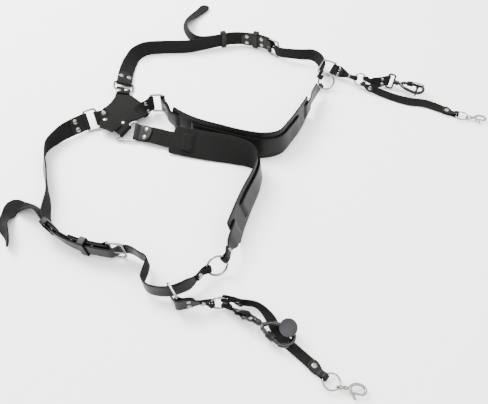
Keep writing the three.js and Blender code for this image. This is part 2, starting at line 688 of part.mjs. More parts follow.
// Shoulder strap and pad
function buildShoulder(label, side, front) {
  const start = yokeRingPlace(side.shoulderStart);
  const flapSide = -side.shoulderOutward;
  const startFold = { side: flapSide, radius: barRadius(yokeRing.wire), flap: flapLength };
  const contact = front.contact(side.frontRing.shoulderAt, flapSide, frontRing.wire);
  const endFold = { ...contact, flap: shortFlapLength };
  const points = planPoints(start.bar, contact.bar, side.shoulderRows);
  const ends = { start: { bar: start.bar, axis: start.width, ...startFold }, end: contact };
  const route = new Route(points, side.shoulderRows, padWidth, padThickness, ends, 35);
  const padStart = side.padStart;
  const padEnd = padStart + padLength;
  const firstSlits = [padStart + slitInset, padStart + slitInset + slitPitch];
  const slits = [...firstSlits, padEnd - slitInset - slitPitch, padEnd - slitInset];
  const weave = side.shoulderOutward * ((padThickness + leatherThickness) / 2 + weaveGap);
  const passed = (distance, slit) => smooth((distance - slit + slitReach - 2) / (2 * slitReach - 4));
  const offsetAt = (distance) => {
    let way = 1;
    slits.forEach((slit, i) => {
      way += (i % 2 ? 2 : -2) * passed(distance, slit);
    });
    const onto = smooth((distance - padStart + 26) / 18);
    const off = smooth((distance - padEnd - 8) / 18);
    return weave * way * onto * (1 - off);
  };
  const tab = (distance) => smooth((distance - route.length + 36) / 22);
  const widthAt = (distance) => mix(mainStrapWidth, ringTabWidth, tab(distance));
  const steps = wovenSteps(0, route.length, slits, true);
  const strap = sweep([
    ...foldStations(route, 0, 1, startFold, widthAt, leatherThickness),
    ...bandStations(route, steps, widthAt, offsetAt, leatherThickness),
    ...foldStations(route, route.length, -1, endFold, widthAt, leatherThickness),
  ]);
  const flap = flapSide * flapAt;
  const rivets = [-1, 1].map((way) => rivet(route, 19, way * rivetSpread, flap));
  rivets.push(rivet(route, route.length - 15, 0, flap));
  piece(`${label}_shoulder_strap`, fuse([strap, ...rivets]), materials.leather);

  const inside = (distance) => distance > padStart + 6 && distance < padEnd - 6;
  const padSteps = [0, 1.5, 4].map((value) => padStart + value);
  padSteps.push(...wovenSteps(0, route.length, slits, false).filter(inside));
  padSteps.push(...[4, 1.5, 0].map((value) => padEnd - value));
  const padAt = (distance) => {
    const nearTip = Math.min(distance - padStart, padEnd - distance);
    return padWidth * tipFactor(nearTip, padTip);
  };
  const pad = solidOf(sweep(bandStations(route, padSteps, padAt, () => 0, padThickness)));
  const cutters = slits.map((slit) => {
    const cutSteps = slitStations(slit);
    const wide = () => mainStrapWidth + 2 * layerGap;
    return sweep(bandStations(route, cutSteps, wide, offsetAt, leatherThickness + 2 * layerGap));
  });
  piece(`${label}_shoulder_pad`, pad.subtract(fuse(cutters)), materials.leather);
}

// Side strap, front strap and what sits on them
function buckleFrame(route, heel) {
  const from = route.frame(heel);
  const to = route.frame(heel + buckle.depth);
  const height = barRadius(buckle.wire);
  const point = along(from.point, [from.inner, height]);
  const travel = along(to.point, [to.inner, height]).sub(point).normalize();
  const width = along(from.width, [travel, -from.width.dot(travel)]).normalize();
  return { point, travel, width, inner: travel.clone().cross(width) };
}

function buildBuckle(label, frame) {
  const half = mainStrapWidth / 2 + buckle.sidePlay + buckle.wire;
  const corners = [[-half, 0], [half, 0], [half, buckle.depth], [-half, buckle.depth]];
  const path = roundedPath(corners, buckle.corner);
  const points = path.map(([a, b]) => along(frame.point, [frame.width, a], [frame.travel, b]));
  const normal = frame.inner.clone().negate();
  piece(`${label}_buckle_frame`, solidOf(wire(points, normal, buckle.wire, true)), materials.chrome);
  const collar = buckle.wire + layerGap + buckle.prong;
  const eye = ringWire(frame.point, frame.travel, frame.inner, collar, buckle.prong, 8);
  const root = along(frame.point, [frame.inner, -collar], [frame.travel, -0.5]);
  const tip = along(root, [frame.travel, buckle.reach]);
  piece(`${label}_buckle_prong`, fuse([eye, rod(root, tip, buckle.prong, wireSides)]), materials.chrome);
}

function buildKeeper(name, route, distance, low, high) {
  const frame = route.frame(distance);
  const half = mainStrapWidth / 2 + keeperPlay;
  const inner = [low - leatherThickness / 2 - keeperPlay, high + leatherThickness / 2 + keeperPlay];
  const reach = keeperLength / 2;
  const hole = box(frame, { travel: [-reach - 1, reach + 1], inner, width: [-half, half] });
  const shell = box(frame, {
    travel: [-reach, reach],
    inner: [inner[0] - keeperWall, inner[1] + keeperWall],
    width: [-half - keeperWall, half + keeperWall],
  });
  piece(name, solidOf(shell).subtract(solidOf(hole)), materials.leather);
}

function buildSideStrap(label, route, heel, frame) {
  const fold = { side: 1, radius: barRadius(yokeRing.wire) };
  const wide = () => mainStrapWidth;
  const strap = sweep([
    ...foldStations(route, 0, 1, { ...fold, flap: flapLength }, wide, leatherThickness),
    ...bandStations(route, stepsBetween(0, heel), wide, () => 0, leatherThickness),
    ...foldStations(route, heel, -1, { ...fold, flap: buckleFlapLength }, wide, leatherThickness),
  ]);
  const rows = [19, ...buckleRivets.map((distance) => heel - distance)];
  const rivets = rows.flatMap((at) => [-1, 1].map((way) => rivet(route, at, way * rivetSpread, flapAt)));
  const slot = buckle.prong + layerGap;
  const notch = box(frame, { travel: [-7.5, 7.5], inner: [-7, 7], width: [-slot, slot] });
  piece(`${label}_side_strap`, fuse([strap, ...rivets]).subtract(solidOf(notch)), materials.leather);
  buildKeeper(`${label}_keeper_fixed`, route, heel - fixedKeeperAt, frontOffset, flapAt);
  buildKeeper(`${label}_keeper_sliding`, route, heel - slidingKeeperAt, frontOffset, 0);
}

// The tail leaves the side strap behind the sliding keeper
function tailRoute(route, heel, tail) {
  const leave = heel - slidingKeeperAt - 9;
  const starts = [leave + 14, leave].map((distance) => {
    const frame = route.frame(distance);
    const { lean, lift } = route.formAt(distance);
    const turned = 180 - lean;
    const row = { lean: turned > 180 ? turned - 360 : turned, lift };
    return { frame, row, point: along(frame.point, [frame.inner, frontOffset]) };
  });
  const root = starts[1].point;
  const tip = root.clone().add(onPlan(tail, tailSpan).setZ(0));
  const points = [...starts.map((start) => start.point), ...planPoints(root, tip, tail.rows)];
  const rows = [...starts.map((start) => start.row), ...tail.rows];
  const bent = new Route(points, rows, mainStrapWidth, leatherThickness, {}, 26);
  const raw = bent.place(0);
  const width = starts[0].frame.width.clone();
  bent.anchors.start = { width, shift: starts[0].point.clone().sub(raw.point) };
  return { bent, from: leave + 14 };
}

function buildFrontStrap(label, side, route, heel, contact, frame) {
  const { bent, from } = tailRoute(route, heel, side.tail);
  const through = barRadius(buckle.wire) + buckle.wire + layerGap + leatherThickness / 2;
  const offsetAt = (distance) => {
    const rise = smooth((distance - heel - 3) / (buckle.depth - 5));
    const fall = smooth((distance - heel - buckle.depth - 4) / 24);
    return mix(mix(frontOffset, through, rise), 0, fall);
  };
  const tab = (distance) => smooth((distance - route.length + 38) / 22);
  const widthAt = (distance) => mix(frontStrapWidth, ringTabWidth, tab(distance));
  const tailAt = (distance) => frontStrapWidth * tipFactor(bent.length - distance, frontStrapWidth * 1.4);
  const tailSteps = [0, 2, 5, 10].map((value) => bent.length - value);
  tailSteps.push(...stepsBetween(4, bent.length - 18, stationStep * 0.75).reverse());
  const tail = bandStations(bent, tailSteps, tailAt, () => 0, leatherThickness);
  tail.forEach((station) => {
    station.out.negate();
  });
  const bar = heel + buckle.depth;
  const steps = [...stepsBetween(from + 6, heel), ...stepsBetween(heel + 3, bar - 2, 2.8)];
  steps.push(...stepsBetween(bar + 4, bar + 28, 8), ...stepsBetween(bar + 38, route.length));
  const ringFold = { ...contact, flap: shortFlapLength };
  const strap = sweep([
    ...tail,
    ...bandStations(route, steps, widthAt, offsetAt, leatherThickness),
    ...foldStations(route, route.length, -1, ringFold, widthAt, leatherThickness),
  ]);
  const stud = rivet(route, route.length - 15, 0, contact.side * flapAt);
  const slot = buckle.prong + layerGap;
  const reach = { travel: [4, 17.5], inner: [-9, 3], width: [-slot, slot] };
  const solid = fuse([strap, stud]).subtract(solidOf(box(frame, reach)));
  piece(`${label}_front_strap`, solid, materials.leather);
}

// The slider hangs on the front strap, with its outer bar out for the leash
function sliderPlace(side, route) {
  const frame = route.frame(side.sliderShare * route.length);
  const inward = frame.inner.clone().applyAxisAngle(frame.width, radians(side.sliderTurn));
  const centre = along(frame.point, [inward, side.sliderInset - slider.depth / 2]);
  return { centre, inward, width: frame.width, outer: along(centre, [inward, -slider.depth / 2]) };
}

function buildSlider(label, place) {
  const half = frontStrapWidth / 2 + slider.sidePlay + slider.wire;
  const deep = slider.depth / 2;
  const path = roundedPath([[-half, -deep], [half, -deep], [half, deep], [-half, deep]], slider.corner);
  const points = path.map(([a, b]) => along(place.centre, [place.width, a], [place.inward, b]));
  const normal = place.width.clone().cross(place.inward);
  piece(`${label}_slider_ring`, solidOf(wire(points, normal, slider.wire, true)), materials.chrome);
}

function buildSide(label, side) {
  buildYokeRing(`${label}_side_ring`, side.sideStart);
  buildYokeRing(`${label}_shoulder_ring`, side.shoulderStart);
  const front = frontRingPlace(side);
  buildRoundRing(`${label}_front_ring`, front, frontRing, 18, materials.chrome);
  buildShoulder(label, side, front);
  const start = yokeRingPlace(side.sideStart);
  const contact = front.contact(side.frontRing.sideAt, -1, frontRing.wire);
  const points = planPoints(start.bar, contact.bar, side.sideRows);
  const startEnd = { bar: start.bar, axis: start.width, side: 1, radius: barRadius(yokeRing.wire) };
  const ends = { start: startEnd, end: contact };
  const route = new Route(points, side.sideRows, mainStrapWidth, leatherThickness, ends, 35);
  const heel = side.buckleShare * route.length;
  const frame = buckleFrame(route, heel);
  buildSideStrap(label, route, heel, frame);
  buildBuckle(label, frame);
  buildFrontStrap(label, side, route, heel, contact, frame);
  const loop = sliderPlace(side, route);
  buildSlider(label, loop);
  buildLeash(label, side, loop);
}

// Short straps between two bars, each folded and riveted at both ends
function buildShortStrap(name, route, ends, widthAt, rivets) {
  const strap = sweep([
    ...foldStations(route, 0, 1, ends.start, widthAt, leatherThickness),
    ...bandStations(route, stepsBetween(0, route.length), widthAt, () => 0, leatherThickness),
    ...foldStations(route, route.length, -1, ends.end, widthAt, leatherThickness),
  ]);
  const studs = rivets.map(({ at, across, side }) => {
    const rise = flapRise(Math.min(at, route.length - at), ends.start.radius);
    return rivet(route, at, across, side * rise, rivetRadius - 0.6);
  });
  piece(name, fuse([strap, ...studs]), materials.leather);
}

function buildLeash(label, side, loop) {
  const { leash } = side;
  const centre = along(loop.outer, [onPlan({ x: leash.ringX, y: leash.ringY }, leashSpan), 1]);
  centre.z = leash.ringZ * leashSpan;
  const { facing, tilt } = side.leashRing;
  const ring = roundRing(centre, facing, tilt, leashRing.radius, linkTabWidth);
  buildRoundRing(`${label}_leash_ring`, ring, leashRing, 14, materials.chrome);

  const linkEnd = ring.contact(side.leashRing.linkAt, -1, leashRing.wire);
  const linkStart = { bar: loop.outer, axis: loop.width, side: 1, radius: barRadius(slider.wire) };
  const linkRows = [leash.lean, leash.lean, leash.lean].map((lean) => ({ lean, lift: 0.1 }));
  const linkPoints = [0, 0.5, 1].map((share) => loop.outer.clone().lerp(linkEnd.bar, share));
  const linkEnds = { start: linkStart, end: linkEnd };
  const link = new Route(linkPoints, linkRows, mainStrapWidth, leatherThickness, linkEnds, 22);
  const linkAt = (distance) => mix(linkWidth, linkTabWidth, smooth((distance - 12) / (link.length - 22)));
  const linkFolds = { start: { ...linkStart, flap: 24 }, end: { ...linkEnd, flap: 15 } };
  const linkStuds = [
    { at: 15, across: -5.2, side: 1 },
    { at: 15, across: 5.2, side: 1 },
    { at: link.length - 11, across: 0, side: -1 },
  ];
  buildShortStrap(`${label}_leash_link`, link, linkFolds, linkAt, linkStuds);
  buildSafety(label, side, ring);
  buildHook(label, side, ring);
}

function buildSafety(label, side, ring) {
  const place = along(ring.centre, [onPlan(side.safety, safetySpan), 1]);
  place.z = keyRing.height;
  const from = ring.contact(side.leashRing.safetyAt, 1, leashRing.wire);
  const line = place.clone().sub(from.bar).setZ(0).normalize();
  const facing = THREE.MathUtils.radToDeg(Math.atan2(line.y, line.x));
  const key = roundRing(place, facing, 90, keyRing.radius, linkTabWidth);
  buildRoundRing(`${label}_key_ring`, key, keyRing, 14, materials.nickel);
  const to = key.contact(90, 1, keyRing.wire);
  const points = planPoints(from.bar, to.bar, side.safety.rows);
  const ends = { start: from, end: to };
  const route = new Route(points, side.safety.rows, safetyStrapWidth, leatherThickness, ends, 24);
  const widthAt = (distance) => {
    const nearest = Math.min(distance, route.length - distance);
    return mix(linkTabWidth, safetyStrapWidth, smooth((nearest - 3) / 14));
  };
  const folds = { start: { ...from, flap: 24 }, end: { ...to, flap: 26 } };
  const studs = [{ at: 17, across: 0, side: 1 }, { at: route.length - 18, across: 0, side: 1 }];
  buildShortStrap(`${label}_safety_strap`, route, folds, widthAt, studs);
  buildClasp(label, side, along(place, [line, keyRing.radius]));
}

// A local frame with X along a heading, Y to its left, flipped on the far side, and Z up
function localFrame(origin, heading, flip = 1) {
  const x = bearing(heading);
  const y = up.clone().cross(x).multiplyScalar(flip);
  return { origin, x, y, at: (a, b, c = 0) => along(origin, [x, a], [y, b], [up, c]) };
}

function buildClasp(label, side, wireAt) {
  const inset = clasp.eye - clasp.eyeWire - keyRing.wire - 1.5 * layerGap;
  const local = localFrame(wireAt, side.claspHeading);
  const eyeCentre = local.at(inset, 0);
  const eye = ringWire(eyeCentre, local.x, up, clasp.eye, clasp.eyeWire, 10);
  const stem = rod(local.at(inset + clasp.eye, 0), local.at(inset + clasp.barrelEnd, 0), clasp.barrel);
  piece(`${label}_clasp_swivel`, fuse([eye, stem]), materials.nickel);

  const body = localFrame(local.at(inset, 0), side.claspHeading);
  const spine = wire(claspBend.map((row) => body.at(row.x, row.y)), up, clasp.wire);
  const lug = wire(claspLug.map((row) => body.at(row.x, row.y)), up, clasp.wire);
  piece(`${label}_clasp_body`, fuse([spine, lug]), materials.nickel);

  const hinge = body.at(lever.hingeX, lever.hingeY);
  const tip = body.at(lever.tipX, lever.tipY);
  const root = body.at(lever.hingeX + 1, lever.hingeY - 0.5);
  const thumb = body.at(lever.tabX, lever.tabY);
  const pin = rod(along(hinge, [up, -1.8]), along(hinge, [up, 1.8]), lever.wire);
  const bar = fuse([pin, rod(hinge, tip, lever.wire), rod(root, thumb, lever.wire)]);
  piece(`${label}_clasp_lever`, bar, materials.nickel);
}

function buildHook(label, side, ring) {
  const { leash } = side;
  const eyeBar = along(ring.centre, [onPlan({ x: leash.eyeX, y: leash.eyeY }, leashSpan), 1]);
  eyeBar.z = leash.eyeZ * leashSpan;
  const local = localFrame(eyeBar, side.hookHeading, side.flip);
  const lean = radians(side.hookStrapLean);
  const left = up.clone().cross(local.x);
  const axis = left.multiplyScalar(Math.cos(lean)).addScaledVector(up, Math.sin(lean));
  const from = ring.contact(side.leashRing.hookAt, -1, leashRing.wire);
  const to = { bar: eyeBar, axis, side: -1, radius: barRadius(hookEye.wire) };
  const rows = [0, 1, 2].map(() => ({ lean: side.hookStrapLean, lift: 0.1 }));
  const points = [0, 0.5, 1].map((share) => from.bar.clone().lerp(eyeBar, share));
  const ends = { start: from, end: to };
  const route = new Route(points, rows, hookStrapWidth, leatherThickness, ends, 16);
  const widthAt = (distance) => mix(linkTabWidth, hookStrapWidth, smooth((distance - 7) / 11));
  const folds = { start: { ...from, flap: 11 }, end: { ...to, flap: 15 } };
  const studs = [-4.6, 4.6].map((across) => ({ at: route.length - 10.5, across, side: -1 }));
  buildShortStrap(`${label}_hook_strap`, route, folds, widthAt, studs);

  const half = hookStrapWidth / 2 + hookEye.sidePlay + hookEye.wire;
  const corners = [[-half, 0], [half, 0], [half, hookEye.depth], [-half, hookEye.depth]];
  const path = roundedPath(corners, hookEye.corner);
  const loopPoints = path.map(([a, b]) => along(eyeBar, [axis, a], [local.x, b]));
  const normal = axis.clone().cross(local.x).normalize();
  const loop = wire(loopPoints, normal, hookEye.wire, true);
  const stem = rod(local.at(hook.barrelStart, 0), local.at(hook.barrelEnd, 0), hook.barrel);
  piece(`${label}_hook_eye`, fuse([loop, stem]), materials.gunmetal);
  buildHookBody(label, local, side.flip);
}

function buildHookBody(label, local, flip) {
  const bend = [[hook.neck, 0], [27.5, 0.6], [31, 4], [36, 8], [46, 11.5]];
  const turns = [90, 68, 45, 22, 0, -22, -45, -68, -84];
  const round = turns.map((turn) => [
    hook.bend + hook.radius * Math.cos(radians(turn)),
    hook.radius * Math.sin(radians(turn)),
  ]);
  const normal = up.clone().multiplyScalar(flip);
  const spine = wire([...bend, ...round].map(([a, b]) => local.at(a, b)), normal, hook.wire);
  const lug = wire(hookLug.map((row) => local.at(row.x, row.y)), normal, hook.wire);
  piece(`${label}_hook_body`, fuse([spine, lug]), materials.gunmetal);

  const hinge = local.at(gate.hingeX, gate.hingeY);
  const tip = local.at(gate.tipX, gate.tipY);
  const pin = rod(along(hinge, [up, -2.6]), along(hinge, [up, 2.6]), gate.wire);
  piece(`${label}_hook_gate`, fuse([pin, rod(hinge, tip, gate.wire)]), materials.gunmetal);

  const travel = tip.clone().sub(hinge).normalize();
  const bore = gate.wire + sleeve.play;
  const ends = [sleeve.start, sleeve.start + sleeve.length].map((value) => along(hinge, [travel, value]));
  const [holeStart, holeEnd] = [sleeve.start - 1, sleeve.start + sleeve.length + 1];
  const hole = [holeStart, holeEnd].map((value) => along(hinge, [travel, value]));
  const shell = solidOf(rod(...ends, bore + sleeve.wall)).subtract(solidOf(rod(...hole, bore)));
  piece(`${label}_hook_sleeve`, shell, materials.gunmetal);

  const turn = radians(plate.at);
  const held = local.at(hook.bend + hook.radius * Math.cos(turn), hook.radius * Math.sin(turn));
  const rise = local.y.clone().multiplyScalar(-0.42).addScaledVector(up, 0.9).normalize();
  const tangent = local.x.clone().addScaledVector(local.y, -0.2).normalize();
  const across = rise.clone().cross(tangent).normalize();
  const middle = along(held, [rise, 2.2]);
  const loop = ringWire(middle, rise, across, plate.loop, plate.loopWire, 10);
  const foot = along(middle, [rise, plate.loop - 0.5]);
  const seat = along(foot, [rise, plate.studLength]);
  const stud = rod(foot, seat, plate.stud);
  const face = rod(seat, along(seat, [rise, plate.thickness]), plate.radius, 14);
  piece(`${label}_camera_plate`, fuse([loop, stud, face]), materials.gunmetal);
}

const group = new THREE.Group();
group.name = 'dual_camera_harness';
buildYoke();
buildSide('near', sides.near);
buildSide('far', sides.far);
const bounds = new THREE.Box3().setFromObject(group);
const middle = bounds.getCenter(new THREE.Vector3());
group.children.forEach((mesh) => {
  mesh.geometry.translate(-middle.x, -middle.y, -bounds.min.z);
});

export default group;
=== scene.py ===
"""Leather harness for two cameras, laid out on a pale floor.

Two arm loops hang from a back yoke. Each is a padded shoulder strap and a buckled side strap that
meet at a round front ring. A slider on the front strap carries a leash with a screw-lock hook and
a safety strap with a lobster clasp. Lengths are in millimetres until a mesh is made.
"""

import bisect
import logging
import math
from dataclasses import dataclass, field
from enum import Enum
from typing import Callable, Iterable, Optional

import bpy
from mathutils import Euler, Matrix, Vector


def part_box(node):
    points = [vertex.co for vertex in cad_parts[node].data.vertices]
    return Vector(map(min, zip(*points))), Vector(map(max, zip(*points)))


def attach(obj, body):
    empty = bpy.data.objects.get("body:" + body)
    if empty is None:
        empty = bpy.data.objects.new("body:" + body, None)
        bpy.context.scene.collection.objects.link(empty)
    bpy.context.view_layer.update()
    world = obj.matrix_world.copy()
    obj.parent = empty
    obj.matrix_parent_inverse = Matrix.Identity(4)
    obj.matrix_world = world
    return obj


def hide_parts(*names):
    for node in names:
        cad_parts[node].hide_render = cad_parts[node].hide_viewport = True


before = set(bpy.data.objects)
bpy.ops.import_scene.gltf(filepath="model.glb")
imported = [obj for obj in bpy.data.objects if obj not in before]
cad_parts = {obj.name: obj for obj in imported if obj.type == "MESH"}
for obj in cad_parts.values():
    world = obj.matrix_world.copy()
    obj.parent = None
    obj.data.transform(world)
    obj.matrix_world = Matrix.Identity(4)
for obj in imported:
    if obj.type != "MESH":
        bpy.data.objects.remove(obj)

logging.basicConfig(level=logging.INFO, format="%(message)s")
log = logging.getLogger("harness")

UP = Vector((0, 0, 1))
MM = 0.001
ROOT = "harness"


class Face(Enum):
    """Which surface of a strap a strip of its skin belongs to; the value is its material index."""

    GRAIN = 0
    FLESH = 1
    EDGE = 2


class Slot(Enum):
    """The record's material slots."""

    LEATHER = "leather"
    CHROME = "chrome"
    GUNMETAL = "gunmetal"
    NICKEL = "nickel"


# Helpers


def smooth(value: float) -> float:
    """A soft step from 0 to 1."""
    value = min(max(value, 0.0), 1.0)
    return value * value * (3 - 2 * value)


def mix(low: float, high: float, share: float) -> float:
    """The value at a share of the way from low to high."""
    return low + (high - low) * share


def bearing(degrees: float) -> Vector:
    """A level unit vector at a heading from +X."""
    return Vector((math.cos(math.radians(degrees)), math.sin(math.radians(degrees)), 0))


def along(origin: Vector, *terms: tuple[Vector, float]) -> Vector:
    """Walks from a point by some axes.

    Args:
        origin: The point to start from.
        terms: Pairs of an axis and how far to go along it.

    Returns:
        The point reached.
    """
    point = origin.copy()
    for axis, amount in terms:
        point += axis * amount
    return point


def steps_between(start: float, end: float, step: float) -> list[float]:
    """Even steps from start to end, both included, at most step apart."""
    count = max(1, math.ceil(abs(end - start) / step))
    return [mix(start, end, i / count) for i in range(count + 1)]


# Sizes shared by the pieces


@dataclass(frozen=True)
class Sizes:
    """Named sizes of the harness, in millimetres."""

    leather: float = 2.4
    pad: float = 3.2
    pad_puff: float = 0.8
    layer_gap: float = 0.4
    weave_gap: float = 0.9
    main_width: float = 30
    front_width: float = 24
    safety_width: float = 15
    link_width: float = 22
    hook_width: float = 20
    pad_width: float = 50
    pad_length: float = 325
    ring_tab: float = 9
    link_tab: float = 8
    rivet: float = 4.6
    rivet_rise: float = 1.5
    rivet_spread: float = 7.6
    wire_clearance: float = 0.5
    ring_slack: float = 0.8
    yoke_span: float = 120
    loop_span: float = 390
    leash_span: float = 100
    safety_span: float = 190
    tail_span: float = 128
    yoke_height: float = 17
    yoke_arm: float = 26
    flap: float = 30
    buckle_flap: float = 68
    short_flap: float = 22
    arm_flap: float = 18
    fold_run: float = 9
    slit_inset: float = 20
    slit_pitch: float = 26
    slit_reach: float = 9
    keeper_length: float = 11
    keeper_wall: float = 1.8
    keeper_play: float = 0.9
    fixed_keeper: float = 37
    sliding_keeper: float = 108
    band_step: float = 3.5

    @property
    def flap_at(self) -> float:
        """How far a flat flap stands off its strap."""
        return self.leather + self.layer_gap

    @property
    def front_offset(self) -> float:
        """Where the front strap runs outside the side strap."""
        return -(self.leather + 1.1 + 2 * self.layer_gap)

    def bar_radius(self, wire: float) -> float:
        """The radius of a strap's middle round a wire."""
        return wire + self.wire_clearance + self.leather / 2


SIZES = Sizes()

CREASE = math.radians(38)


@dataclass(frozen=True)
class WireFrame:
    """A rectangular wire frame with rounded corners that a strap passes through."""

    wire: float
    depth: float
    corner: float
    play: float

    def half(self, strap: float) -> float:
        """Half the width between its side wires, round a strap of some width."""
        return strap / 2 + self.play + self.wire


@dataclass(frozen=True)
class WireRing:
    """A round wire ring, and how high it rests."""

    wire: float
    radius: float
    rest: float = 0.0


YOKE_RING = WireFrame(2.0, 22.0, 5.0, 1.5)
BUCKLE = WireFrame(2.0, 24.0, 5.0, 1.6)
SLIDER = WireFrame(1.75, 28.0, 4.0, 1.6)
HOOK_EYE = WireFrame(1.9, 13.0, 4.0, 1.0)
FRONT_RING = WireRing(1.75, 15.2, 3.5)
LEASH_RING = WireRing(1.5, 11.5)
KEY_RING = WireRing(1.2, 11.0, 5.6)

# Rows of the routes: along and across in shares of the straight line, lean in degrees, lift as a share

NEAR_SHOULDER = [
    (0, 0, 25, 0.04), (0.11, 0.09, 27, 0.04), (0.21, 0.17, 39, 0.03), (0.32, 0.27, 49, 0.01),
    (0.44, 0.38, 65, 0), (0.53, 0.43, 85, 0), (0.59, 0.42, 95, 0), (0.65, 0.38, 102, 0),
    (0.76, 0.25, 108, 0), (0.85, 0.15, 110, 0), (0.93, 0.07, 115, 0), (1, 0, 120, 0),
]
FAR_SHOULDER = [
    (0, 0, 90, 0), (0.03, -0.12, 88, 0), (0.13, -0.26, 82, 0), (0.29, -0.385, 74, 0),
    (0.4, -0.455, 72, 0), (0.5, -0.495, 75, 0), (0.59, -0.49, 80, 0), (0.67, -0.42, 82, 0),
    (0.77, -0.31, 83, 0), (0.86, -0.19, 88, 0), (0.95, -0.07, 85, 0), (1, 0, 80, 0),
]
NEAR_SIDE = [
    (0, 0, -57, 0.14), (0, -0.09, -70, 0.08), (0.01, -0.15, -87, 0), (0.04, -0.21, -103, 0),
    (0.11, -0.25, -108, 0), (0.2, -0.28, -108, 0), (0.32, -0.32, -92, 0), (0.43, -0.37, -75, 0.14),
    (0.51, -0.37, -77, 0.22), (0.59, -0.34, -80, 0.12), (0.67, -0.29, -83, 0.16),
    (0.75, -0.22, -84, 0.18), (0.8, -0.17, -85, 0.18), (0.84, -0.155, -85, 0.18),
    (0.87, -0.18, -84, 0.14), (0.9, -0.21, -86, 0.12), (0.94, -0.21, -90, 0.12),
    (0.99, -0.16, -94, 0.08), (1.01, -0.08, -100, 0.1), (1, 0, -108, 0.05),
]
FAR_SIDE = [
    (0, 0, 20, 0.1), (0, 0.11, 32, 0.04), (0.01, 0.18, 46, 0), (0.03, 0.24, 62, 0),
    (0.08, 0.285, 78, 0), (0.17, 0.3, 86, 0), (0.32, 0.31, 90, 0), (0.45, 0.345, 92, 0.1),
    (0.55, 0.375, 92, 0.12), (0.64, 0.365, 94, 0.16), (0.72, 0.335, 97, 0.18), (0.79, 0.28, 97, 0.18),
    (0.85, 0.23, 95, 0.16), (0.92, 0.215, 88, 0.18), (0.98, 0.2, 78, 0.26), (1.015, 0.15, 72, 0.28),
    (1.02, 0.07, 70, 0.24), (1, 0, 70, 0.1),
]
NEAR_SAFETY = [
    (0, 0, 86, 0.3), (0.12, 0.11, 86, 0.1), (0.22, 0.16, 85, 0.05), (0.36, 0.14, 50, 0),
    (0.5, 0.08, 8, 0), (0.67, 0.05, -5, 0), (0.85, 0.03, -5, 0.03), (1, 0, 0, 0.1),
]
FAR_SAFETY = [
    (0, 0, 76, 0.4), (0.18, -0.03, 76, 0.1), (0.35, -0.04, 72, 0), (0.51, -0.03, 56, 0),
    (0.67, 0.02, 42, 0), (0.84, 0.02, 25, 0.03), (1, 0, 0, 0.1),
]
NEAR_TAIL = [
    (0, -0.59, -122, 0.14), (0.18, -0.95, -156, 0.1), (0.42, -1.23, -195, 0.05),
    (0.72, -1.02, -173, 0.03), (0.88, -0.69, -138, 0.03), (0.91, -0.34, -116, 0), (1, 0, -115, 0),
]
FAR_TAIL = [
    (0.04, 0.26, 88, 0.08), (0.33, 0.37, 100, 0.03), (0.66, 0.28, 160, 0.05),
    (0.91, 0.06, 178, 0.1), (1, 0, 180, 0.12),
]
YOKE_OUTLINE = [
    (0.07, 0.52), (-0.185, 0.475), (-0.22, 0.35), (-0.27, 0.25), (-0.33, 0.19), (-0.31, -0.24),
    (-0.2, -0.29), (-0.1, -0.35), (-0.07, -0.32), (0.17, -0.09), (0.27, -0.05), (0.37, 0.04),
    (0.36, 0.23), (0.28, 0.31), (0.17, 0.42),
]


@dataclass(frozen=True)
class RingStart:
    """Where a yoke ring lies, as shares of the yoke's span."""

    x: float
    y: float
    z: float
    heading: float
    lean: float
    skew: float


@dataclass(frozen=True)
class Arm:
    """One of the yoke's arms."""

    x: float
    y: float
    width: float
    flap: int


@dataclass(frozen=True)
class SidePlan:
    """The layout of one arm loop and its leash."""

    name: str
    flip: int
    side_start: RingStart
    side_arm: Arm
    shoulder_start: RingStart
    shoulder_arm: Arm
    outward: int
    front_ring: tuple[float, float, float, float, float, float]
    shoulder_rows: list
    side_rows: list
    pad_start: float
    buckle_share: float
    slider_share: float
    slider_turn: float
    slider_inset: float
    tail: tuple[float, float]
    tail_rows: list
    leash_ring_at: tuple[float, float, float]
    leash_lean: float
    eye_at: tuple[float, float, float]
    leash_ring: tuple[float, float, float, float, float]
    hook_strap_lean: float
    safety_at: tuple[float, float]
    safety_rows: list
    hook_heading: float
    clasp_heading: float


NEAR = SidePlan(
    name="near",
    flip=1,
    side_start=RingStart(-0.53, -0.12, 0.148, 205, -57, 0),
    side_arm=Arm(-0.22, -0.02, 32, 1),
    shoulder_start=RingStart(0.26, -0.3, 0.1, -8, 25, 0.55),
    shoulder_arm=Arm(-0.05, -0.13, 32, -1),
    outward=-1,
    front_ring=(0.48, -0.84, -66, 25, 180, 28),
    shoulder_rows=NEAR_SHOULDER,
    side_rows=NEAR_SIDE,
    pad_start=70,
    buckle_share=0.65,
    slider_share=0.895,
    slider_turn=-20,
    slider_inset=4.2,
    tail=(-0.383, -0.281),
    tail_rows=NEAR_TAIL,
    leash_ring_at=(0.56, 0.03, 0.145),
    leash_lean=-90,
    eye_at=(0.36, -0.17, 0.12),
    leash_ring=(-85, 8, 180, -40, 40),
    hook_strap_lean=-50,
    safety_at=(0.755, -0.555),
    safety_rows=NEAR_SAFETY,
    hook_heading=-31,
    clasp_heading=-7,
)
